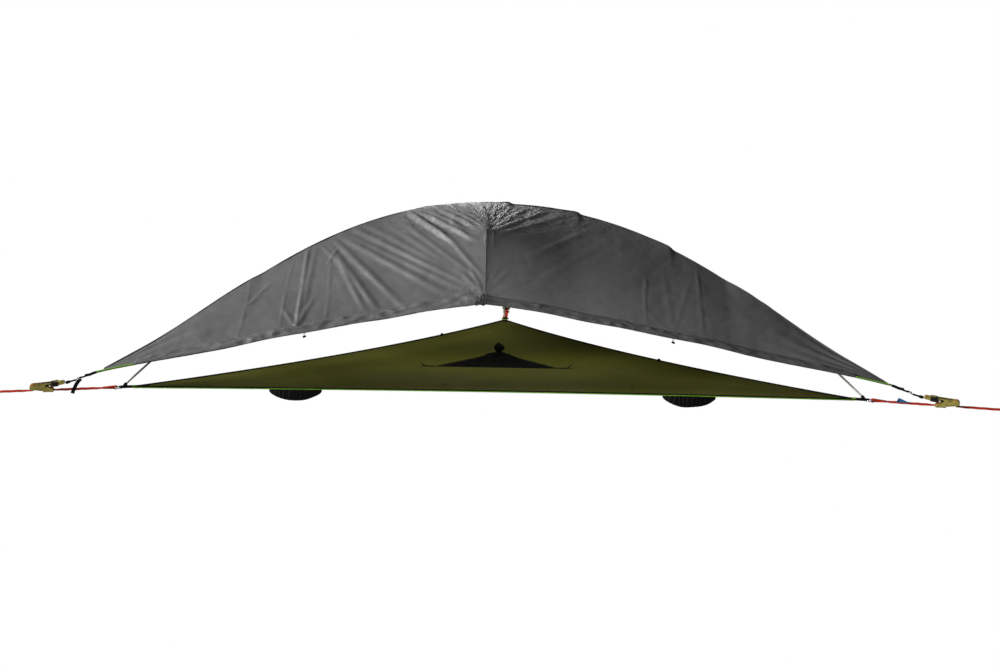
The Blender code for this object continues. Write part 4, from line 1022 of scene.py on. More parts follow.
def build_fly():
    """One cloth of four panels over the poles, with its tension folds and sewn seams."""
    whole = bmesh.new()
    for corner in (left, right):
        for rear, columns, rows, wide in ((False, 230, 74, 1.1), (True, 120, 56, 2.2)):
            def spot(u, v, corner=corner, rear=rear):
                return panel_point(corner, rear, u, v)

            part = grid_shape(columns, rows, spot, ((corner.spot - crown).length * 1.1, wide))
            rears = part.verts.layers.float.new("rear")
            for vert in part.verts:
                vert[rears] = float(rear)
            mesh = bpy.data.meshes.new("panel")
            part.to_mesh(mesh)
            part.free()
            whole.from_mesh(mesh)
            bpy.data.meshes.remove(mesh)
    bmesh.ops.remove_doubles(whole, verts=whole.verts, dist=clearance)
    bmesh.ops.recalc_face_normals(whole, faces=whole.faces)
    if sum(face.normal.z for face in whole.faces) < 0:
        bmesh.ops.reverse_faces(whole, faces=whole.faces)
    whole.normal_update()
    rises = whole.verts.layers.float["rise"]
    rears = whole.verts.layers.float["rear"]
    moves = [vert.normal * fly_relief(vert.co, vert[rears] > 0.5, vert[rises]) for vert in whole.verts]
    for vert, move in zip(whole.verts, moves):
        vert.co += move
    fly = piece_from(whole, "fly")
    thicken(fly, sizes().fly_thickness)
    settle(fly, "root", ["fly_sheet"], finish="coated_ripstop")


def hem_ruffle(run, across, seed):
    """Gathers of the elastic band at one place along it, in metres: long slanted puckers."""
    pitch = sizes().ruffle_pitch
    slant = run / pitch + across * 1.1
    broad = noise.noise(Vector((slant * 0.45, across * 2.6 - slant * 0.22, seed)))
    second = noise.noise(Vector((slant * 1.1, across * 3.4 - slant * 0.5, seed + 5)))
    sharp = 0.5 - 2 * abs(noise.noise(Vector((slant * 0.8, across * 2.2 - slant * 0.45, seed + 11))))
    return (1.1 * broad + 0.6 * second + 0.55 * sharp) * sizes().ruffle_depth


def hem_pleat(number, lean, width):
    """One pleat of the small bunch where the hem band's halves meet under the front seam."""
    steps = 12
    path = [
        seam_point(0) + Vector((
            -lean * (1 - n / steps) + 0.004 * sin(n * 1.3 + number),
            -0.009 - 0.006 * sin(pi * n / steps) - 0.002 * number,
            0.070 * n / steps - 0.004,
        ))
        for n in range(steps + 1)
    ]
    pleat = strap(f"hem_pleat_{number}", path, Vector((1, 0.15, 0.3)), width, 0.003, bow=0.007, bevel=0.001)
    # The pleats wear the darker copy of the fly cloth: painted shade in the bunch
    settle(pleat, "root", finish="painted_shade_ripstop")


def build_seam_bindings():
    """Bound seams that stand proud of the cloth: along the crest and down the front."""
    lift = Vector((0, -0.0012, 0.0022))
    reach = 0.985
    crest = [crest_point(left, reach - reach * n / 70) + lift for n in range(70)]
    for n in range(141):
        share = reach * n / 140
        crest.append(crest_point(right, share) + Vector((0, 0, crest_step(right, share))) + lift)
    # This binding and the front one wear the darker copy of the fly cloth: painted shade along the seams
    settle(rod("crest_binding", crest, 0.0030, sides=3), "root", finish="painted_shade_ripstop")
    front = [seam_point(brow_share * n / 40) + Vector((0, -0.0050, 0.0010)) for n in range(41)]
    roof = 0.97 - brow_share
    front += [seam_point(brow_share + roof * n / 30) + Vector((0, -0.001, 0.0020)) for n in range(1, 31)]
    settle(rod("front_binding", front, 0.0032, sides=3), "root", finish="painted_shade_ripstop")
    for number, (lean, width) in enumerate(((0.052, 0.022), (0.026, 0.030), (0.004, 0.016))):
        hem_pleat(number, lean, width)


def hem_strip(corner, low, top, tall, trim):
    """Shape and length of the band, or of its plain trim, between two shares of the near hem."""
    way = -1 if corner is left else 1
    length = (near_hem_point(corner, top) - near_hem_point(corner, low)).length
    gathered, height_share = (0.85, 0.8) if corner is right else (1.0, 1.0)
    calm = 0.2 if trim else 1.0

    def spot(u, v):
        share = low + (top - low) * u
        hem = near_hem_point(corner, share)
        up = panel_point(corner, False, 1 - share, 0.06) - hem
        nudge = panel_point(corner, False, 1 - min(0.999, share + 0.004), 0.0) - hem
        normal = nudge.cross(up) * -way
        normal = normal.normalized() if normal.length else Vector((0, -1, 0))
        if normal.y > 0:
            normal = -normal
        bulge = band_bulge * sin(pi * min(1.0, 0.12 + 0.9 * v)) ** 0.7
        ruffle = hem_ruffle(u * length, v, 11.0 + way) * calm * gathered * sin(pi * v) ** 0.4
        out = max(0.0010 + bulge + ruffle, 0.0009)
        narrow = tall if trim else tall * (1 - 0.6 * ease((share - 0.8) / 0.2))
        drop = 0.003 * noise.noise(Vector((u * length * 24, 2.0, way)))
        rise = narrow * height_share * v - 0.003 + drop * (1 - v)
        return hem + up.normalized() * rise + normal * out

    return grid_shape(max(24, round(length / 0.006)), 14, spot, (length, tall)), length


def build_hem_band():
    """Gathered elastic band along the near hem, lime green next to each side tip."""
    # The right band wears the darker copy of the fly cloth: painted shade, as it faces down away from the
    # sun; the lit left band wears the fly cloth itself
    for corner, trim_start, cloth in ((left, 0.905, "coated_ripstop"), (right, 0.915, "painted_shade_ripstop")):
        for kind, finish, low, top, tall in (
            ("band", cloth, 0.0, trim_start, sizes().band_height),
            ("trim", "green_piping", trim_start, 1.0, trim_height),
        ):
            shape, length = hem_strip(corner, low, top, tall, kind == "trim")
            band = piece_from(shape, f"hem_{kind}_{corner.name}")
            thicken(band, 0.0009)
            settle(band, "root", finish=finish)


def edge_points(first, second, sag, count=60):
    """Plan points of one floor edge from one corner to the next, bowed inward."""
    start = first.world(-corner_cut, webbing_width / 2)
    end = second.world(-corner_cut, -webbing_width / 2)
    inward = Vector((start.y - end.y, end.x - start.x, 0)).normalized()
    return [
        start.lerp(end, n / count) + inward * sag * 4 * (n / count) * (1 - n / count)
        for n in range(count + 1)
    ]


def floor_edges():
    """Plan points of the floor's three edges."""
    near, side = sizes().near_edge_sag, sizes().side_edge_sag
    return {
        "near": edge_points(left, right, near),
        "right": edge_points(right, far, side),
        "left": edge_points(far, left, side),
    }


def ray_hit(outline, centre, angle):
    """Where a ray from a centre first crosses a closed plan outline."""
    ray = Vector((cos(angle), sin(angle), 0))
    best = None
    for one, two in zip(outline, outline[1:] + outline[:1]):
        side = two - one
        cross = ray.x * side.y - ray.y * side.x
        if abs(cross) < 1e-12:
            continue
        away = one - centre
        along = (away.x * side.y - away.y * side.x) / cross
        share = (away.x * ray.y - away.y * ray.x) / cross
        if along > 0 and -1e-4 <= share <= 1 + 1e-4 and (best is None or along < best):
            best = along
    return centre + ray * best


def hatch_corners():
    """The hatch's outline: hinge left and right, far end right and left."""
    values = sizes()
    return [
        Vector((-values.hatch_base_half, values.hatch_base, 0)),
        Vector((values.hatch_base_half, values.hatch_base, 0)),
        Vector((values.hatch_top_half, values.hatch_top, 0)),
        Vector((-values.hatch_top_half, values.hatch_top, 0)),
    ]


def floor_relief(point):
    """Faint creases of the drawn floor cloth, in metres."""
    height = noise.noise(Vector((point.x * 1.1, point.y * 1.1, 7.0))) * 0.0012
    for corner in corners.values():
        height += fan_relief(point, corner.world(-corner_cut), 30, 1.1, 3.0) * 0.0009
    base = sizes().hatch_base
    across = exp(-((point.y - base + 0.02) / 0.012) ** 2)
    height += 0.0012 * across * ease((1.6 - abs(point.x)) / 0.8)
    middle = exp(-(point.x / 0.006) ** 2) * ease((point.y - sizes().hatch_top - 0.02) / 0.1)
    return height + 0.0010 * middle


def line_step(line, n):
    """Way from the point before to the point after one point of a line."""
    return line[min(n + 1, len(line) - 1)] - line[max(n - 1, 0)]


def floor_cloth(edges):
    """Taut floor cloth, drawn from the hatch's outline to the floor's edges."""
    outline = [point for line in edges.values() for point in line]
    hatch = hatch_corners()
    centre = Vector((0, (sizes().hatch_base + sizes().hatch_top) / 2 - 0.05, 0))
    angles = [2 * pi * n / 420 for n in range(420)]
    for point in hatch + [line[0] for line in edges.values()] + [line[-1] for line in edges.values()]:
        angles.append(atan2(point.y - centre.y, point.x - centre.x) % (2 * pi))
    angles = sorted(set(round(angle, 7) for angle in angles))
    angles.append(angles[0] + 2 * pi)
    inner = [ray_hit(hatch, centre, angle) for angle in angles]
    outer = [ray_hit(outline, centre, angle) for angle in angles]

    def spot(u, v):
        n = min(len(angles) - 1, round(u * (len(angles) - 1)))
        point = inner[n].lerp(outer[n], v ** 1.25)
        edge = ease(v / 0.04) * ease((1 - v) / 0.04)
        return point + Vector((0, 0, floor_relief(point) * edge))

    bm = grid_shape(len(angles) - 1, 46, spot, (1, 1))
    weave = bm.loops.layers.uv.verify()
    for face in bm.faces:
        for loop in face.loops:
            loop[weave].uv = (loop.vert.co.x, loop.vert.co.y)
    bmesh.ops.remove_doubles(bm, verts=bm.verts, dist=0.00005)
    bmesh.ops.recalc_face_normals(bm, faces=bm.faces)
    floor = thicken(piece_from(bm, "floor"), 0.0009)
    settle(floor, "root", ["floor_fabric"], finish="floor_ripstop")


def dress_floor_edge(name, line):
    """Webbing over and under one edge of the floor, and piping along it."""
    width, radius = sizes().edge_webbing, sizes().piping_radius
    inset, lip = [], []
    for n, point in enumerate(line):
        along = line_step(line, n).normalized()
        inset.append(point + Vector((-along.y, along.x, 0)) * (width / 2) + Vector((0, 0, edge_top - 0.0011)))
        lip.append(point + Vector((along.y, -along.x, 0)) * (radius + clearance) - Vector((0, 0, 0.002)))
    across = [Vector((0, 0, 1)).cross(line_step(inset, n)).normalized() for n in range(len(inset))]
    band = strap("edge_band_" + name, inset, across, width, 0.002)
    settle(band, "root", ["edge_webbing_" + name], finish="black_webbing")
    lower = [point - Vector((0, 0, 2 * edge_top - 0.0014)) for point in inset]
    settle(strap("under_band_" + name, lower, across, width, 0.0014), "root", finish="black_webbing")
    cord = rod("piping_" + name, lip, radius * 0.85, sides=4)
    settle(cord, "root", ["edge_piping"] if name == "near" else (), finish="green_piping")


def edge_loop(number, x, y, turn):
    """A small webbing loop that stands on the floor's edge."""
    profile = [(-0.010, 0.0), (-0.008, 0.010), (0.0, 0.016), (0.008, 0.010), (0.010, 0.0)]
    points = [
        Vector((x + along * cos(turn), y + along * sin(turn), edge_top + rise)) for along, rise in profile
    ]
    across = Vector((-sin(turn), cos(turn), 0))
    loop = strap(f"edge_loop_{number}", smooth_path(points), across, 0.012, 0.0012)
    settle(loop, "root", finish="black_webbing")


def build_floor():
    """Taut floor cloth round the hatch, with webbing and piping on its edges and small loops on them."""
    edges = floor_edges()
    floor_cloth(edges)
    for name, line in edges.items():
        dress_floor_edge(name, line)
    for number, (x, y, turn) in enumerate(edge_loop_places):
        edge_loop(number, x, y, turn)


def hatch_flap(hatch, knot):
    """Mesh flap with gathers drawn toward its tied bundle."""
    gathers, gather_depth, gather_reach = 13, 0.007, 0.22
    knot_rise, knot_reach = 0.020, 0.09

    def spot(u, v):
        point = hatch[0].lerp(hatch[1], u).lerp(hatch[3].lerp(hatch[2], u), v)
        ray = point - knot
        angle = atan2(ray.y, ray.x)
        reach = ray.length
        gather = sin(angle * gathers + noise.noise(point * 6) * 2.5) * gather_depth
        gather *= exp(-(reach / gather_reach) ** 2)
        gather += noise.noise(point * 14) * 0.003
        edge = ease(u / 0.05) * ease((1 - u) / 0.05) * ease(v / 0.05) * ease((1 - v) / 0.08)
        rise = knot_rise * exp(-(reach / knot_reach) ** 2)
        return point + Vector((0, 0, (gather + rise) * edge))

    flap = piece_from(grid_shape(110, 60, spot, (0.85, 0.43)), "hatch_flap")
    thicken(flap, 0.0006)
    settle(flap, "hatch_flap", ["hatch_mesh"], finish="black_mesh")


def mesh_bundle(knot):
    """The flap's spare mesh, gathered into a fluted tuft and tied round with cord."""
    values = sizes()
    # The tuft's outline from foot to top: height and radius over the full ones
    profile = [
        (0.0, 1.0), (0.12, 0.82), (0.27, 0.52), (0.36, 0.50), (0.48, 0.72), (0.62, 0.86), (0.78, 0.74),
        (0.9, 0.45), (1.0, 0.10),
    ]

    def spot(u, v):
        turn = 2 * pi * u
        wander = noise.noise(Vector((cos(turn) * 2, sin(turn) * 2, v * 4)))
        flute = 1 + 0.20 * sin(7 * turn + 2.2 * v) * (1 - 0.4 * v) + 0.12 * wander
        radius = values.bundle_radius * curve_value(profile, v) * flute
        height = 0.004 + (values.bundle_height - 0.004) * v
        lean = Vector((0.006 * sin(3 * v), -0.004 * v, 0))
        return knot + lean + Vector((radius * cos(turn), radius * sin(turn), height))

    bm = grid_shape(84, 40, spot, (0.3, 0.1))
    bmesh.ops.remove_doubles(bm, verts=bm.verts, dist=0.0001)
    bmesh.ops.holes_fill(bm, edges=[edge for edge in bm.edges if edge.is_boundary], sides=0)
    bmesh.ops.recalc_face_normals(bm, faces=bm.faces)
    settle(piece_from(bm, "mesh_bundle"), "hatch_flap", finish="black_mesh")
    turns = [2 * pi * n / 24 for n in range(24)]
    radius = 0.0182
    tie = [
        knot + Vector((radius * cos(turn), radius * sin(turn), 0.028 + 0.001 * sin(2 * turn)))
        for turn in turns
    ]
    settle(rod("bundle_tie", tie, 0.0018, closed=True), "hatch_flap", finish="shock_cord")
    tail = [
        (0.018, 0, 0.028), (0.032, -0.004, 0.030), (0.045, -0.010, 0.022), (0.052, -0.014, 0.010),
        (0.056, -0.018, 0.004),
    ]
    path = smooth_path([knot + Vector(place) for place in tail])
    settle(rod("tie_tail", path, 0.0016), "hatch_flap", finish="shock_cord")


def zip_side(name, start, end):
    """Tape and coil of the zip along one side of the hatch."""
    run = (end - start).normalized()
    out = Vector((run.y, -run.x, 0)) if name == "right" else Vector((-run.y, run.x, 0))
    tape = [start.lerp(end, n / 40) + out * 0.0075 + Vector((0, 0, 0.0012)) for n in range(41)]
    settle(strap("zip_tape_" + name, tape, out, 0.010, 0.0006), "root", finish="black_webbing")
    coil = [start.lerp(end, n / 40) + out * 0.0022 + Vector((0, 0, 0.0014)) for n in range(41)]
    settle(rod("zip_coil_" + name, coil, 0.0011, sides=3), "root", finish="black_plastic")


def hatch_tab(name, way):
    """Webbing tab at one end of the hatch's hinge, its free end curled up."""
    inner = way * (sizes().hatch_base_half + 0.012)
    low = floor_top + clearance
    points = [
        Vector((inner + way * 0.084 * share, sizes().hatch_base, low + 0.0009 + rise))
        for share, rise in ((0.0, 0.0), (0.3, 0.0), (0.6, 0.0005), (0.85, 0.0088), (1.0, 0.022))
    ]
    tab = strap("tab_" + name, smooth_path(points), Vector((0, 1, 0)), 0.025, 0.0018)
    settle(tab, "root", ["hatch_tab_" + name], finish="black_webbing")


def build_hatch():
    """Mesh flap with its tied bundle, hinge tape, webbing tabs and the zip's tapes and coils."""
    hatch = hatch_corners()
    knot = Vector((0, sizes().bundle_place, 0))
    hatch_flap(hatch, knot)
    mesh_bundle(knot)
    hinge = [hatch[0].lerp(hatch[1], n / 30) + Vector((0, -0.008, 0.0014)) for n in range(31)]
    tape = strap("hatch_hinge_tape", hinge, Vector((0, 1, 0)), 0.014, 0.0010)
    settle(tape, "root", finish="black_webbing")
    for name, start, end in (
        ("right", hatch[1], hatch[2]), ("left", hatch[0], hatch[3]), ("end", hatch[3], hatch[2]),
    ):
        zip_side(name, start, end)
    for name, way in (("left", -1), ("right", 1)):
        hatch_tab(name, way)


def near_edge_y(line, x):
    """Depth of the floor's near edge at one place across it."""
    for one, two in zip(line, line[1:]):
        if x <= two.x:
            return one.y + (two.y - one.y) * (x - one.x) / (two.x - one.x)
    return line[-1].y


def build_pockets():
    """Slack mesh pockets under the near edge, gathered on an elastic rim."""
    values = sizes()
    line = floor_edges()["near"]
    for name, way in (("left", -1), ("right", 1)):
        def spot(u, v, way=way):
            across = 2 * u - 1
            full = max(0.0, 1 - across ** 2) ** 0.72
            x = way * values.pocket_place + across * values.pocket_width / 2
            depth = 0.010 + (values.pocket_depth - 0.010) * full
            mouth = 0.012 + (values.pocket_mouth - 0.012) * full
            turn = pi * v
            y = near_edge_y(line, x) + 0.006 - (0.006 + mouth) * (1 - cos(turn)) / 2
            z = -floor_top - clearance - 0.0005 - depth * sin(turn) - 0.003 * v
            pleat = sin(across * 38 + noise.noise(Vector((across * 3, v, way))) * 3) * 0.0016 * ease(v * 1.4)
            sag = noise.noise(Vector((x * 14, v * 3, way))) * 0.003 * sin(turn)
            return Vector((x, y + (pleat + sag) * full, z + sag))

        pouch = piece_from(grid_shape(110, 40, spot, (values.pocket_width, 0.13)), "pocket_" + name)
        thicken(pouch, 0.0006)
        settle(pouch, "root", ["mesh_pocket_" + name], finish="black_mesh")
        rim = [spot(0.03 + 0.94 * n / 60, 1.0) + Vector((0, -0.0004, 0.001)) for n in range(61)]
        settle(rod("pocket_rim_" + name, rim, 0.0020, sides=3), "root", finish="shock_cord")


def unlit_rays(tree):
    """1 for the rays that look at the background instead of lighting by it."""
    rays = add(tree, "ShaderNodeLightPath").outputs
    kinds = {0: rays["Is Camera Ray"], 1: rays["Is Transmission Ray"]}
    return add(tree, "ShaderNodeMath", kinds, operation="MAXIMUM").outputs[0]


def place_camera():
    """The camera where the photograph was taken."""
    right_way, up, forward = camera_axes
    camera = bpy.data.cameras.new("camera")
    camera.sensor_width = sensor_width
    camera.lens = focal_pixels * sensor_width / photo_size[0]
    holder = bpy.data.objects.new("camera", camera)
    turn = Matrix((right_way, up, -forward)).transposed().to_4x4()
    holder.matrix_world = Matrix.Translation(camera_place) @ turn
    bpy.context.scene.collection.objects.link(holder)
    bpy.context.scene.camera = holder


def lay_ground():
    """Plain ground that returns a little light and is seen as white background."""
    values = stage_settings()
    bm = bmesh.new()
    bmesh.ops.create_grid(bm, x_segments=1, y_segments=1, size=values.ground_size / 2)
    bmesh.ops.translate(bm, verts=bm.verts, vec=(0, 0, -values.ground_depth))
    ground = piece_from(bm, "ground", smooth=False)
    plain, tree, shader = blank_material("white_ground")
    shader.inputs["Base Color"].default_value = (values.ground_tone,) * 3 + (1.0,)
    shader.inputs["Roughness"].default_value = 0.9
    glow = add(tree, "ShaderNodeEmission", {"Color": (1, 1, 1, 1), "Strength": 1.0})
    shown = add(tree, "ShaderNodeMixShader", {0: unlit_rays(tree), 1: shader.outputs[0], 2: glow.outputs[0]})
    tree.links.new(shown.outputs[0], tree.nodes["Material Output"].inputs["Surface"])
    ground.data.materials.append(plain)


def make_sky():
    """White background that lights the tent only faintly."""
    world = bpy.data.worlds.new("sky")
    bpy.context.scene.world = world
    world.use_nodes = True
    sky = world.node_tree
    sky.nodes.clear()
    ambient = stage_settings().ambient
    lit = add(sky, "ShaderNodeBackground", {"Color": (0.96, 0.98, 1.0, 1.0), "Strength": ambient})
    white = add(sky, "ShaderNodeBackground", {"Color": (1, 1, 1, 1), "Strength": 1.0})
    mix = add(sky, "ShaderNodeMixShader", {0: unlit_rays(sky), 1: lit.outputs[0], 2: white.outputs[0]})
    add(sky, "ShaderNodeOutputWorld", {"Surface": mix.outputs[0]})


def lamp(name, kind, place, aim, energy, **settings):
    """One lamp at a place, shining toward its aim, or straight down without one."""
    light = bpy.data.lights.new(name, kind)
    light.energy = energy
    for key, value in settings.items():
        setattr(light, key, value)
    holder = bpy.data.objects.new(name, light)
    holder.location = place
    if aim:
        holder.rotation_euler = (Vector(place) - Vector(aim)).to_track_quat("Z", "Y").to_euler()
    bpy.context.scene.collection.objects.link(holder)
    return holder


def hang_lamps():
    """Sun low on the left, soft lamps in front and beside, and small ones for roof, seam and inside."""
    values = stage_settings()
    lamp("sun", "SUN", (-0.93, -0.03, 0.38), (0, 0, 0), values.sun, angle=radians(14))
    lamp("soft_front", "AREA", (-3.0, -6.5, 3.5), (0, 0, 0.4), values.fill, size=5.0)
    lamp("side_sky", "AREA", (-6.5, -3.0, 2.0), (0, 0, 0.5), values.side, size=4.0)
    lamp(
        "roof_light", "SPOT", (-0.6, 3.6, 2.5), (-0.02, 0.10, 0.97), values.roof,
        spot_size=radians(22), spot_blend=0.8, shadow_soft_size=0.25,
    )
    beside = lamp("seam_light", "AREA", (0.26, -1.22, 0.62), (0.34, -0.30, 0.62), values.glance, size=0.4)
    beside.visible_camera = False
    for number, (place, wide, deep, share) in enumerate((
        ((0, 0.22, 0.38), 1.7, 0.7, 1.6), ((-1.4, -0.22, 0.22), 0.8, 0.42, 1.0),
        ((1.4, -0.22, 0.22), 0.8, 0.42, 0.8), ((0, 1.28, 0.30), 0.4, 0.8, 1.0),
    )):
        inner = lamp(
            f"through_fly_{number}", "AREA", place, None, values.inside * wide * deep * share,
            shape="RECTANGLE", size=wide, size_y=deep,
        )
        inner.visible_camera = False
        inner.visible_glossy = False


def build_stage():
    """Camera where the photograph was taken, plain ground, sky and lamps."""
    place_camera()
    lay_ground()
    make_sky()
    hang_lamps()
    bpy.context.scene.view_settings.view_transform = "Standard"


def bar_loop(corner, middle, half, spacing, bend, lean=0.0, steps=8):
    """Centre line of a bar ring: long bars across the strap line, spacing apart along it."""
    points = []
    for turn, (x, y) in enumerate(((1, 1), (-1, 1), (-1, -1), (1, -1))):
        for n in range(steps + 1):
            angle = pi / 2 * (turn + n / steps)
            along = x * (spacing / 2 - bend) + bend * cos(angle)
            across = y * (half - bend) + bend * sin(angle)
            points.append(corner.world(
                middle[0] + along * cos(lean), across, middle[1] - along * sin(lean),
            ))
    return points


def wrap(corner, bar, radius, start, sweep_angle, steps=16):
    """Path round a bar that lies across the strap line, from one angle over another."""
    return [
        corner.world(
            bar[0] + radius * cos(start + sweep_angle * n / steps), 0,
            bar[1] + radius * sin(start + sweep_angle * n / steps),
        )
        for n in range(steps + 1)
    ]


def stitches(name, corner, start, end, height):
    """Two rows of short raised stitches across a strap, made one piece."""
    count = 11
    half = webbing_width / 2 - 0.003
    turn = Matrix.Rotation(atan2(corner.out.y, corner.out.x), 3, "Z")
    bm = bmesh.new()
    for place in (start, end):
        for n in range(count):
            v = (2 * (n + 0.5) / count - 1) * half
            verts = bmesh.ops.create_icosphere(bm, subdivisions=1, radius=0.0007)["verts"]
            bmesh.ops.scale(bm, verts=verts, vec=(1.0, 2.2, 0.5))
            bmesh.ops.rotate(bm, verts=verts, cent=(0, 0, 0), matrix=turn)
            bmesh.ops.translate(bm, verts=verts, vec=corner.world(place, v, height))
    settle(piece_from(bm, name), "root", finish="black_plastic")


def anchor_ring(name, corner):
    """Forged ring that holds the corner's webbing and the suspension strap."""
    path = bar_loop(corner, (ring_spacing / 2, 0), ring_half, ring_spacing, ring_corner)
    ring = rod("ring_" + name, path, ring_rod, closed=True, sides=8)
    settle(ring, "root", ["anchor_ring_" + name], finish="plain_steel")


def corner_patch(name, corner):
    """Webbing looped round the ring, with the cup of the pole's foot sewn on."""
    above = edge_top + clearance + webbing_thickness / 2
    below = -floor_top - clearance - webbing_thickness / 2
    upper = [
        corner.world(-patch_reach + patch_run * n / 24, 0, above + 0.0005 * sin(n * 0.9)) for n in range(24)
    ]
    lower = [corner.world(-patch_turn - patch_run * n / 24, 0, below) for n in range(1, 25)]
    eye = ring_rod + clearance + webbing_thickness
    turn = [corner.world(eye * sin(pi * n / 14), 0, eye * cos(pi * n / 14)) for n in range(2, 13)]
    patch = strap("patch_" + name, upper + turn + lower, corner.across, webbing_width, 0.0026, columns=6)
    # A short lime band sewn over the webbing where the floor's point begins
    lime = [corner.world(-0.062, 0, above + 0.0020 - 0.0001 * n) - corner.out * 0.0028 * n for n in range(8)]
    band = strap("corner_band_" + name, lime, corner.across, webbing_width + 0.002, 0.0012)
    settle(band, "root", finish="green_piping")
    foot = feet[name]
    target = arch_point(foot, 0.93) if name != "far" else ridge_point(foot.y - 0.12)
    toward = (target - foot).normalized()
    cup = rod("cup_" + name, [foot + toward * reach for reach in (-0.004, 0.0005, 0.012)], 0.0088, sides=10)
    over = smooth_path([
        corner.world(-0.060, 0, above + 0.0024), corner.world(-0.040, 0, above + 0.0032),
        foot - toward * 0.0062 + Vector((0, 0, 0.001)), corner.world(-0.008, 0, above + 0.0026),
    ])
    flare = strap("cup_strap_" + name, over, corner.across, 0.020, 0.0012)
    whole = joined("corner_" + name, [patch, cup, flare])
    settle(whole, "root", ["corner_patch_" + name], finish="black_webbing")
    stitches("patch_stitches_" + name, corner, -0.030, -0.135, above + 0.0011)


def build_corners():
    """Anchor rings, with the floor's webbing looped round them and the pole cups sewn on."""
    for name, corner in corners.items():
        anchor_ring(name, corner)
        corner_patch(name, corner)


def strap_run(corner, start, length, wave):
    """Path and width directions of a taut run, which rolls toward the viewer between its flat ends."""
    height, depth, pitch, rest = wave
    path = []
    for n in range(41):
        wobble = depth * sin(n * pitch) * ease(n / rest) * ease((40 - n) / rest)
        path.append(corner.world(start + length * n / 40, 0, height + wobble))
    roll = strap_roll_share if corner.across.y > 0 else -strap_roll_share
    rolled = [
        (corner.across + Vector((0, 0, roll)) * ease(n / 9) * ease((40 - n) / 9)).normalized()
        for n in range(41)
    ]
    return path, rolled


def tent_strap(name, corner):
    """Webbing from the anchor ring to the ratchet's bolt."""
    eye = ring_rod + clearance + webbing_thickness
    swollen = wrap(corner, (ring_spacing, 0), eye + 0.0011, 0.35 * pi, 1.3 * pi, 22)
    back = [
        corner.world(ring_spacing + 0.010 + 0.06 * n / 8, 0, -0.0030 + 0.0020 * ease(n / 8)) for n in range(9)
    ]
    ahead = [
        corner.world(ring_spacing + 0.070 - 0.058 * n / 8, 0, 0.0010 + 0.0042 * ease(n / 8)) for n in range(8)
    ]
    fold = strap(
        "ring_loop_" + name, ahead + swollen[1:] + back, corner.across, webbing_width, 0.0048,
        columns=6, bevel=0.0012,
    )
    middle, rolled = strap_run(
        corner, ring_spacing + 0.060, bolt_reach - ring_spacing - 0.066, (-0.0008, 0.0006, 0.8, 6),
    )
    run = strap("strap_run_" + name, middle, rolled, webbing_width, 0.0030, columns=8, bow=0.0006)
    bolt = wrap(corner, (bolt_reach, 0), 0.0065, pi, -1.72 * pi, 22)
    eye_end = strap("bolt_loop_" + name, bolt, corner.across, webbing_width, 0.0022, columns=6)
    near = joined("tent_strap_run_" + name, [fold, run, eye_end])
    settle(near, "root", ["tent_strap_" + name], finish="red_webbing")
    stitches("strap_stitches_" + name, corner, ring_spacing + 0.020, ring_spacing + 0.066, 0.0034)


def strap_winding(name, corner):
    """Turns of webbing on the ratchet's spool."""
    per_turn = 28
    coil = []
    for n in range(winding_turns * per_turn + 1):
        turn = 2 * pi * n / per_turn - pi / 2
        radius = winding_inner + winding_pitch * n / per_turn
        height = corner.spool_height + radius * sin(turn)
        coil.append(corner.world(spool_reach + radius * cos(turn), 0, height))
    winding = strap("winding_" + name, coil, corner.across, webbing_width, 0.0018, columns=6)
    settle(winding, "spool_" + name, ["strap_winding_" + name], finish="red_webbing")


def tree_strap(name, corner):
    """Webbing from the ratchet to the tree, its last loop drawn open by the tree's sling."""
    inner = 0.008
    middle = strap_reach - 0.022
    top = [
        (middle - 0.024, 0.0022), (middle - 0.012, 0.0046), (middle, 0.0085), (middle + 0.010, inner + 0.002),
        (strap_reach - 0.0035, inner + 0.0015), (strap_reach - 0.002, inner - 0.001),
    ]
    shape = top + [(strap_reach - 0.002, 0.0)] + [(u, -z) for u, z in top[::-1]]
    loop = smooth_path([corner.world(u, 0, z) for u, z in shape], 5)
    outer = strap("end_loop_" + name, loop, corner.across, webbing_width, 0.0036, columns=6)
    run, rolled = strap_run(corner, spool_reach, middle - 0.022 - spool_reach, (-0.0004, 0.0005, 0.7, 8))
    away = strap("away_run_" + name, run, rolled, webbing_width, 0.0026, columns=8, bow=0.0006)
    whole = joined("tree_strap_run_" + name, [outer, away])
    settle(whole, "root", ["tree_strap_" + name], finish="red_webbing")
    stitches("loop_stitches_" + name, corner, middle - 0.060, middle - 0.030, 0.0014)


def strap_tag():
    """Blue tag on the right strap, folded to a triangle, its point up and toward the tent."""
    reach, width = 0.074, 0.026

    def spot(u, v):
        rise = width * v * min(u / 0.16, (1 - u) / 0.84)
        return right.world(0.150 + reach * u, -0.012 - 0.005 * v * (1 - u), 0.0028 + rise)

    tag = piece_from(grid_shape(20, 6, spot, (reach, width)), "strap_tag")
    thicken(tag, 0.0012, bevel=0.0002)
    settle(tag, "root", finish="blue_tag")


def build_straps():
    """Suspension webbing: from each anchor ring to the ratchet, round its spool, and on to the tree."""
    for name, corner in corners.items():
        tent_strap(name, corner)
        strap_winding(name, corner)
        tree_strap(name, corner)
    strap_tag()


def guy_ring(name, corner):
    """Small bar ring between a guy's webbing and its hook."""
    half = guy_ring_spacing / 2
    middle = (guy_inner_bar[0] + guy_fall.x * half, guy_inner_bar[1] + guy_fall.z * half)
    lean = atan2(-guy_fall.z, guy_fall.x)
    path = bar_loop(corner, middle, guy_ring_half, guy_ring_spacing, guy_ring_corner, lean)
    ring = rod("small_ring_" + name, path, guy_ring_rod, closed=True, sides=8)
    settle(ring, "root", ["guy_ring_" + name], finish="plain_steel")


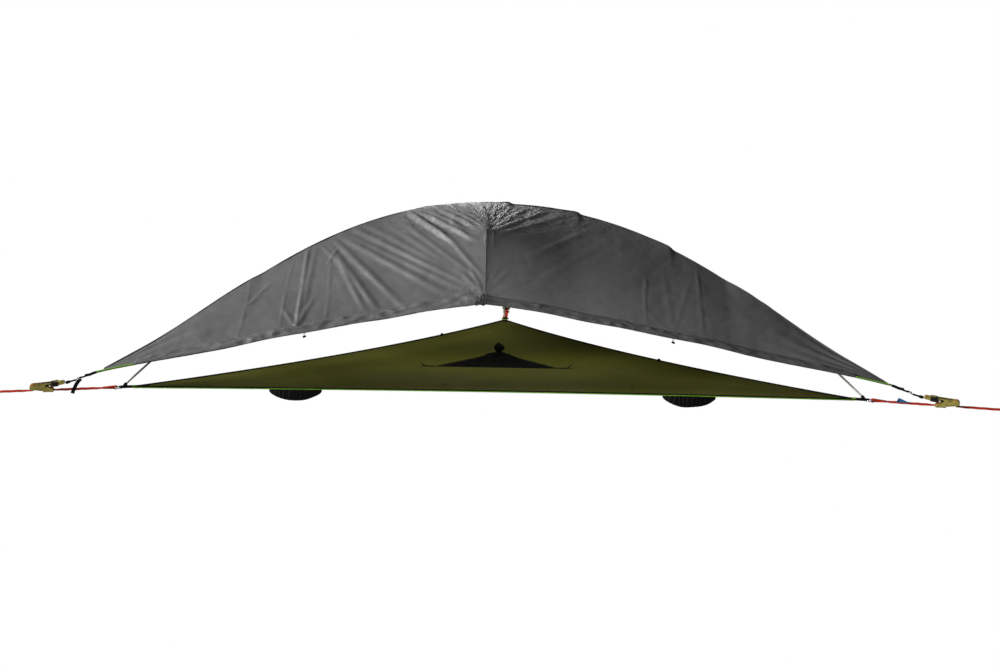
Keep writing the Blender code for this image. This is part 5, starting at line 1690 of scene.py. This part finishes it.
def guy_strap(name, corner):
    """Webbing from the fly's tip round the small ring, folded back thick, with a loose tail on the left."""
    begin, bar = guy_start, guy_inner_bar
    path = [
        corner.world(
            begin[0] + (bar[0] - begin[0] - 0.006) * n / 14, 0,
            begin[1] + (bar[1] - begin[1] + 0.004) * n / 14 + 0.001 * sin(n * 0.9),
        )
        for n in range(15)
    ]
    guy_eye = guy_ring_rod + clearance + webbing_thickness / 2
    path += wrap(corner, bar, guy_eye, atan2(guy_fall.z, guy_fall.x) + 0.62 * pi, -1.45 * pi, 18)
    path += [
        corner.world(bar[0] - 0.012 - 0.030 * n / 6, 0, bar[1] + 0.0008 + 0.0095 * n / 6) for n in range(7)
    ]
    parts = [strap("guy_band_" + name, path, corner.across, guy_width, 0.0018, columns=6)]
    roll = [path[0].lerp(path[13], n / 12) + Vector((0, 0, 0.0012 * sin(n * 0.8))) for n in range(11)]
    fold = strap("guy_fold_" + name, roll, corner.across, guy_width * 0.9, 0.0125, bow=0.002, bevel=0.0035)
    settle(fold, "root", finish="black_webbing")
    if corner is left:
        side = webbing_width / 2 + 0.0014
        drop = [
            (0.206, 0.0117, 0.0560), (0.213, 0.0150, 0.0520), (0.222, side, 0.0440),
            (0.234, side + 0.0006, 0.0260), (0.243, side + 0.0010, 0.0080), (0.250, side, -0.0080),
            (0.254, side, -0.0215),
        ]
        hanging = smooth_path([left.world(*point) for point in drop])
        parts.append(strap("tail", hanging, left.out, 0.020, 0.0014))
    settle(joined("guy_strap_run_" + name, parts), "root", ["guy_strap_" + name], finish="black_webbing")


def guy_hook(name, corner):
    """Wire hook from the small ring to the ratchet's handle, its shank whipped with cord."""
    bar = (handle_end_reach, handle_end_height)
    heading = atan2(bar[1] - guy_outer_bar[1], bar[0] - guy_outer_bar[0])
    wire = clearance + hook_wire
    first = wrap(corner, guy_outer_bar, guy_ring_rod + wire, heading + 0.55 * pi, 0.95 * pi, 12)
    last = wrap(corner, bar, handle_bar + wire, -0.62 * pi, 0.62 * pi, 12)
    hook = rod("hook_" + name, first + last, hook_wire, sides=6)
    settle(hook, "root", ["guy_hook_" + name], finish="black_plastic")
    # The whipping is thicker by the handle
    begin, stop = first[-1], last[0]
    shank = (stop - begin).normalized()
    lift = shank.cross(corner.across).normalized()
    turns, per_turn = 22, 12
    cord = []
    for n in range(turns * per_turn + 1):
        along = 0.10 + 0.78 * n / (turns * per_turn)
        spread = hook_wire + 0.0013 + 0.0036 * ease((along - 0.50) / 0.16) * ease((0.92 - along) / 0.10)
        turn = 2 * pi * n / per_turn
        cord.append(begin.lerp(stop, along) + (lift * cos(turn) + corner.across * sin(turn)) * spread)
    settle(rod("hook_whipping_" + name, cord, 0.0015, sides=2), "root", finish="shock_cord")


def build_guys():
    """From each fly tip to its ratchet handle: strap, bar ring and hook, and a loose tail on the left."""
    for name, corner in corners.items():
        guy_ring(name, corner)
        guy_strap(name, corner)
        guy_hook(name, corner)


def softened(name, node, bevel):
    """A copy of a metal node with its edges rounded, as pressed or cast edges are."""
    mesh = frame["nodes"][node].data.copy()
    bm = bmesh.new()
    bm.from_mesh(mesh)
    bpy.data.meshes.remove(mesh)
    bmesh.ops.remove_doubles(bm, verts=bm.verts, dist=0.00002)
    bmesh.ops.dissolve_limit(bm, angle_limit=radians(1.0), verts=bm.verts, edges=bm.edges)
    piece = piece_from(bm, name)
    piece.data.set_sharp_from_angle(angle=radians(32))
    edge = piece.modifiers.new("edge", "BEVEL")
    edge.width = bevel
    edge.segments = 2
    edge.limit_method = "ANGLE"
    edge.angle_limit = radians(40)
    edge.use_clamp_overlap = True
    return piece


def handle_grip(name, corner):
    """Black grip: a plastic cheek outside each side of the handle."""
    plate_face, cheek_half = 0.0254, 0.0012
    grip_start, grip_length = 0.097, 0.038
    spool = Vector((spool_reach, 0, corner.spool_height))
    along = (Vector((handle_end_reach, 0, handle_end_height)) - spool).normalized()
    rise = Vector((along.z, 0, -along.x))
    upward = (corner.world(*(spool + rise)) - corner.world(*spool)).normalized()
    cheeks = []
    for way in (-1, 1):
        beside = Vector((0, way * plate_face + way * cheek_half, 0))
        places = [grip_start + grip_length * n / 10 for n in range(11)]
        path = [corner.world(*(spool + along * place + beside)) for place in places]
        cheeks.append(strap(f"grip_{name}_{way}", path, upward, 0.026, 0.0024, bevel=0.0009))
    settle(joined("handle_grip_" + name, cheeks), "handle_" + name, finish="black_plastic")


def tucked_webbing(name, corner):
    """Ends of webbing left in the ratchet: a red one by the bolt and a folded black one behind it."""
    red = [
        (0.352, 0.0068), (0.362, 0.0074), (0.369, 0.0120), (0.370, 0.0180), (0.365, 0.0230), (0.359, 0.0236),
    ]
    bent = smooth_path([corner.world(u, 0, z) for u, z in red], 5)
    tucked = strap("tucked_end_" + name, bent, corner.across, 0.024, 0.0030, bevel=0.0008)
    settle(tucked, "root", finish="red_webbing")
    black = [
        (0.376, 0.0100), (0.390, 0.0150), (0.404, 0.0205), (0.408, 0.0250), (0.402, 0.0265), (0.388, 0.0215),
        (0.377, 0.0170),
    ]
    folded = smooth_path([corner.world(u, 0, z) for u, z in black], 5)
    spare = strap("spare_fold_" + name, folded, corner.across, 0.026, 0.0040, bevel=0.0010)
    settle(spare, "root", finish="black_webbing")


def build_ratchets():
    """Frames, handles, spools and pawls with rounded edges, with grips and tucked webbing."""
    kinds = {
        "ratchet_frame": ("root", 0.0004, "yellow_zinc"),
        "ratchet_handle": ("handle_{}", 0.0004, "yellow_zinc"),
        "ratchet_spool": ("spool_{}", 0.0003, "yellow_zinc"),
        "drive_pawl": ("drive_pawl_{}", 0.0005, "black_plastic"),
        "lock_pawl": ("lock_pawl_{}", 0.0003, "plain_steel"),
    }
    for name, corner in corners.items():
        for kind, (body, bevel, finish) in kinds.items():
            node = f"{kind}_{name}"
            piece = softened("shaped_" + node, node, bevel)
            settle(piece, body.format(name), [node], finish=finish)
        handle_grip(name, corner)
        tucked_webbing(name, corner)


def build_poles():
    """Cross pole and ridge pole of grey tube, their ferrules, cords and the crossing clip."""
    foot_y = feet["far"].y
    rear_end = crown.y - ridge_rear_end
    front_end = crown.y - ridge_front_end
    runs = {
        "cross_pole_left": [arch_point(feet["left"], n / 60) for n in range(60, -1, -1)],
        "cross_pole_right": [arch_point(feet["right"], (n + 0.02) / 60) for n in range(61)],
        "ridge_pole_rear": [ridge_point(foot_y + (rear_end - foot_y) * n / 60) for n in range(61)],
        "ridge_pole_front": [ridge_point(front_end + (brow_setback - front_end) * n / 20) for n in range(21)],
    }
    drawn_radius = pole_radius * pole_swell_share
    for name, run in runs.items():
        settle(rod("tube_" + name, run, drawn_radius, sides=6), "root", [name], finish="pole_alloy")
    for name in ("left", "right"):
        for number, share in enumerate(collar_places):
            shifts = (-collar_half_share, 0.0, collar_half_share)
            path = [arch_point(feet[name], share + shift) for shift in shifts]
            collar = rod(f"pole_collar_{name}_{number}", path, drawn_radius + 0.0006, sides=6)
            settle(collar, "root", finish="pole_alloy")
    for node in ("shock_cord_cross", "shock_cord_ridge"):
        frame["nodes"][node].data.materials.clear()
        frame["nodes"][node].data.materials.append(materials["shock_cord"])
    clip = softened("clip", "pole_crossing_clip", 0.0015)
    settle(clip, "root", ["pole_crossing_clip"], finish="black_plastic")


def build_toggles():
    """Small stoppers that hang from the near hem on a loop of cord."""
    for name, way in (("left", 1), ("right", -1)):
        low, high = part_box("hem_toggle_" + name)
        x, y = (low.x + high.x) / 2, (low.y + high.y) / 2
        top, base = high.z, low.z
        barrel_top = top - 0.42 * (top - base)
        middle = (base + barrel_top) / 2
        outline = [
            (0.0, base), (0.0030, base), (0.0043, base + 0.0012), (0.0045, base + 0.004), (0.0041, middle),
            (0.0045, barrel_top - 0.003), (0.0036, barrel_top - 0.0006), (0.0016, barrel_top),
            (0.0, barrel_top),
        ]
        bm = bmesh.new()
        verts = [bm.verts.new((x + radius, y, z)) for radius, z in outline]
        edges = [bm.edges.new(pair) for pair in zip(verts, verts[1:])]
        bmesh.ops.spin(
            bm, geom=verts + edges, cent=(x, y, 0), axis=(0, 0, 1), angle=2 * pi, steps=20, use_merge=True,
        )
        bmesh.ops.remove_doubles(bm, verts=bm.verts, dist=0.00001)
        bmesh.ops.recalc_face_normals(bm, faces=bm.faces)
        pivot = Vector((x, y, middle))
        bmesh.ops.scale(bm, verts=bm.verts, vec=(1.3, 1.3, 1.25), space=Matrix.Translation(-pivot))
        bmesh.ops.rotate(bm, verts=bm.verts, cent=pivot, matrix=Matrix.Rotation(radians(68 * way), 3, "Y"))
        barrel = piece_from(bm, "toggle_barrel_" + name)
        neck = (barrel_top + top) / 2
        cord = [
            Vector((x + across, y, z)) for across, z in (
                (-0.002, pivot.z + 0.001), (-0.0035, neck), (0.0, top + 0.001), (0.0035, neck),
                (0.002, pivot.z + 0.001),
            )
        ]
        loop = rod("toggle_cord_" + name, smooth_path(cord), 0.0011, sides=3)
        toggle = joined("toggle_" + name, [barrel, loop])
        settle(toggle, "root", ["hem_toggle_" + name], finish="black_plastic")


class TREETENT_OT_stage(bpy.types.Operator):
    """Camera, ground, sky and lamps."""

    bl_idname = "tree_tent.stage"
    bl_label = "Stage"
    bl_options = {"REGISTER", "UNDO"}

    def execute(self, context):
        build_stage()
        return {"FINISHED"}


class TREETENT_OT_materials(bpy.types.Operator):
    """Every finish of the tent, from the panel's colours."""

    bl_idname = "tree_tent.materials"
    bl_label = "Materials"
    bl_options = {"REGISTER", "UNDO"}

    def execute(self, context):
        make_materials()
        return {"FINISHED"}


class TREETENT_OT_poles(bpy.types.Operator):
    """Cross pole and ridge pole, their ferrules, cords and the crossing clip."""

    bl_idname = "tree_tent.poles"
    bl_label = "Poles"
    bl_options = {"REGISTER", "UNDO"}

    def execute(self, context):
        build_poles()
        return {"FINISHED"}


class TREETENT_OT_floor(bpy.types.Operator):
    """Floor cloth with its edge webbing, piping and loops."""

    bl_idname = "tree_tent.floor"
    bl_label = "Floor"
    bl_options = {"REGISTER", "UNDO"}

    def execute(self, context):
        build_floor()
        return {"FINISHED"}


class TREETENT_OT_hatch(bpy.types.Operator):
    """Mesh flap, its tied bundle, tabs and zip."""

    bl_idname = "tree_tent.hatch"
    bl_label = "Hatch"
    bl_options = {"REGISTER", "UNDO"}

    def execute(self, context):
        build_hatch()
        return {"FINISHED"}


class TREETENT_OT_pockets(bpy.types.Operator):
    """Mesh pockets under the near edge."""

    bl_idname = "tree_tent.pockets"
    bl_label = "Pockets"
    bl_options = {"REGISTER", "UNDO"}

    def execute(self, context):
        build_pockets()
        return {"FINISHED"}


class TREETENT_OT_corners(bpy.types.Operator):
    """Anchor rings, corner webbing and pole cups."""

    bl_idname = "tree_tent.corners"
    bl_label = "Corners"
    bl_options = {"REGISTER", "UNDO"}

    def execute(self, context):
        build_corners()
        return {"FINISHED"}


class TREETENT_OT_straps(bpy.types.Operator):
    """Suspension webbing at the three corners."""

    bl_idname = "tree_tent.straps"
    bl_label = "Straps"
    bl_options = {"REGISTER", "UNDO"}

    def execute(self, context):
        build_straps()
        return {"FINISHED"}


class TREETENT_OT_guys(bpy.types.Operator):
    """Fly guys with their rings and hooks."""

    bl_idname = "tree_tent.guys"
    bl_label = "Guys"
    bl_options = {"REGISTER", "UNDO"}

    def execute(self, context):
        build_guys()
        return {"FINISHED"}


class TREETENT_OT_ratchets(bpy.types.Operator):
    """Ratchets with their grips and tucked webbing."""

    bl_idname = "tree_tent.ratchets"
    bl_label = "Ratchets"
    bl_options = {"REGISTER", "UNDO"}

    def execute(self, context):
        build_ratchets()
        return {"FINISHED"}


class TREETENT_OT_fly(bpy.types.Operator):
    """The fly's cloth with its folds and seams."""

    bl_idname = "tree_tent.fly"
    bl_label = "Fly"
    bl_options = {"REGISTER", "UNDO"}

    def execute(self, context):
        build_fly()
        return {"FINISHED"}


class TREETENT_OT_hem_band(bpy.types.Operator):
    """Gathered band and trim of the near hem."""

    bl_idname = "tree_tent.hem_band"
    bl_label = "Hem band"
    bl_options = {"REGISTER", "UNDO"}

    def execute(self, context):
        build_hem_band()
        return {"FINISHED"}


class TREETENT_OT_seam_bindings(bpy.types.Operator):
    """Bindings of the crest and the front seam."""

    bl_idname = "tree_tent.seam_bindings"
    bl_label = "Seam bindings"
    bl_options = {"REGISTER", "UNDO"}

    def execute(self, context):
        build_seam_bindings()
        return {"FINISHED"}


class TREETENT_OT_toggles(bpy.types.Operator):
    """Stoppers on cords under the near hem."""

    bl_idname = "tree_tent.toggles"
    bl_label = "Toggles"
    bl_options = {"REGISTER", "UNDO"}

    def execute(self, context):
        build_toggles()
        return {"FINISHED"}


# In the order in which they run: finishes come before the pieces that wear them
operators = [
    TREETENT_OT_stage, TREETENT_OT_materials, TREETENT_OT_poles, TREETENT_OT_floor,
    TREETENT_OT_hatch, TREETENT_OT_pockets, TREETENT_OT_corners, TREETENT_OT_straps,
    TREETENT_OT_guys, TREETENT_OT_ratchets, TREETENT_OT_fly, TREETENT_OT_hem_band,
    TREETENT_OT_seam_bindings, TREETENT_OT_toggles,
]


class TREETENT_PT_panel(bpy.types.Panel):
    """Lists the tent's groups of pieces and their settings."""

    bl_label = "Tree tent"
    bl_idname = "TREETENT_PT_panel"
    bl_space_type = "VIEW_3D"
    bl_region_type = "UI"
    bl_category = "Tree tent"

    def draw(self, context):
        for kind in operators:
            self.layout.operator(kind.bl_idname)
        for group in (sizes(), colours(), stage_settings()):
            for key in group.__annotations__:
                self.layout.prop(group, key)


groups = [TreeTentSizes, TreeTentColours, TreeTentStage]


def register():
    for kind in groups + operators + [TREETENT_PT_panel]:
        bpy.utils.register_class(kind)
    bpy.types.Scene.tree_tent_sizes = PointerProperty(type=TreeTentSizes)
    bpy.types.Scene.tree_tent_colours = PointerProperty(type=TreeTentColours)
    bpy.types.Scene.tree_tent_stage = PointerProperty(type=TreeTentStage)


def unregister():
    del bpy.types.Scene.tree_tent_stage
    del bpy.types.Scene.tree_tent_colours
    del bpy.types.Scene.tree_tent_sizes
    for kind in [TREETENT_PT_panel] + operators[::-1] + groups[::-1]:
        bpy.utils.unregister_class(kind)


def main():
    """Register the add-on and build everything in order."""
    register()
    for kind in operators:
        group, name = kind.bl_idname.split(".")
        getattr(getattr(bpy.ops, group), name)()
    bpy.context.view_layer.update()


if __name__ == "__main__":
    main()
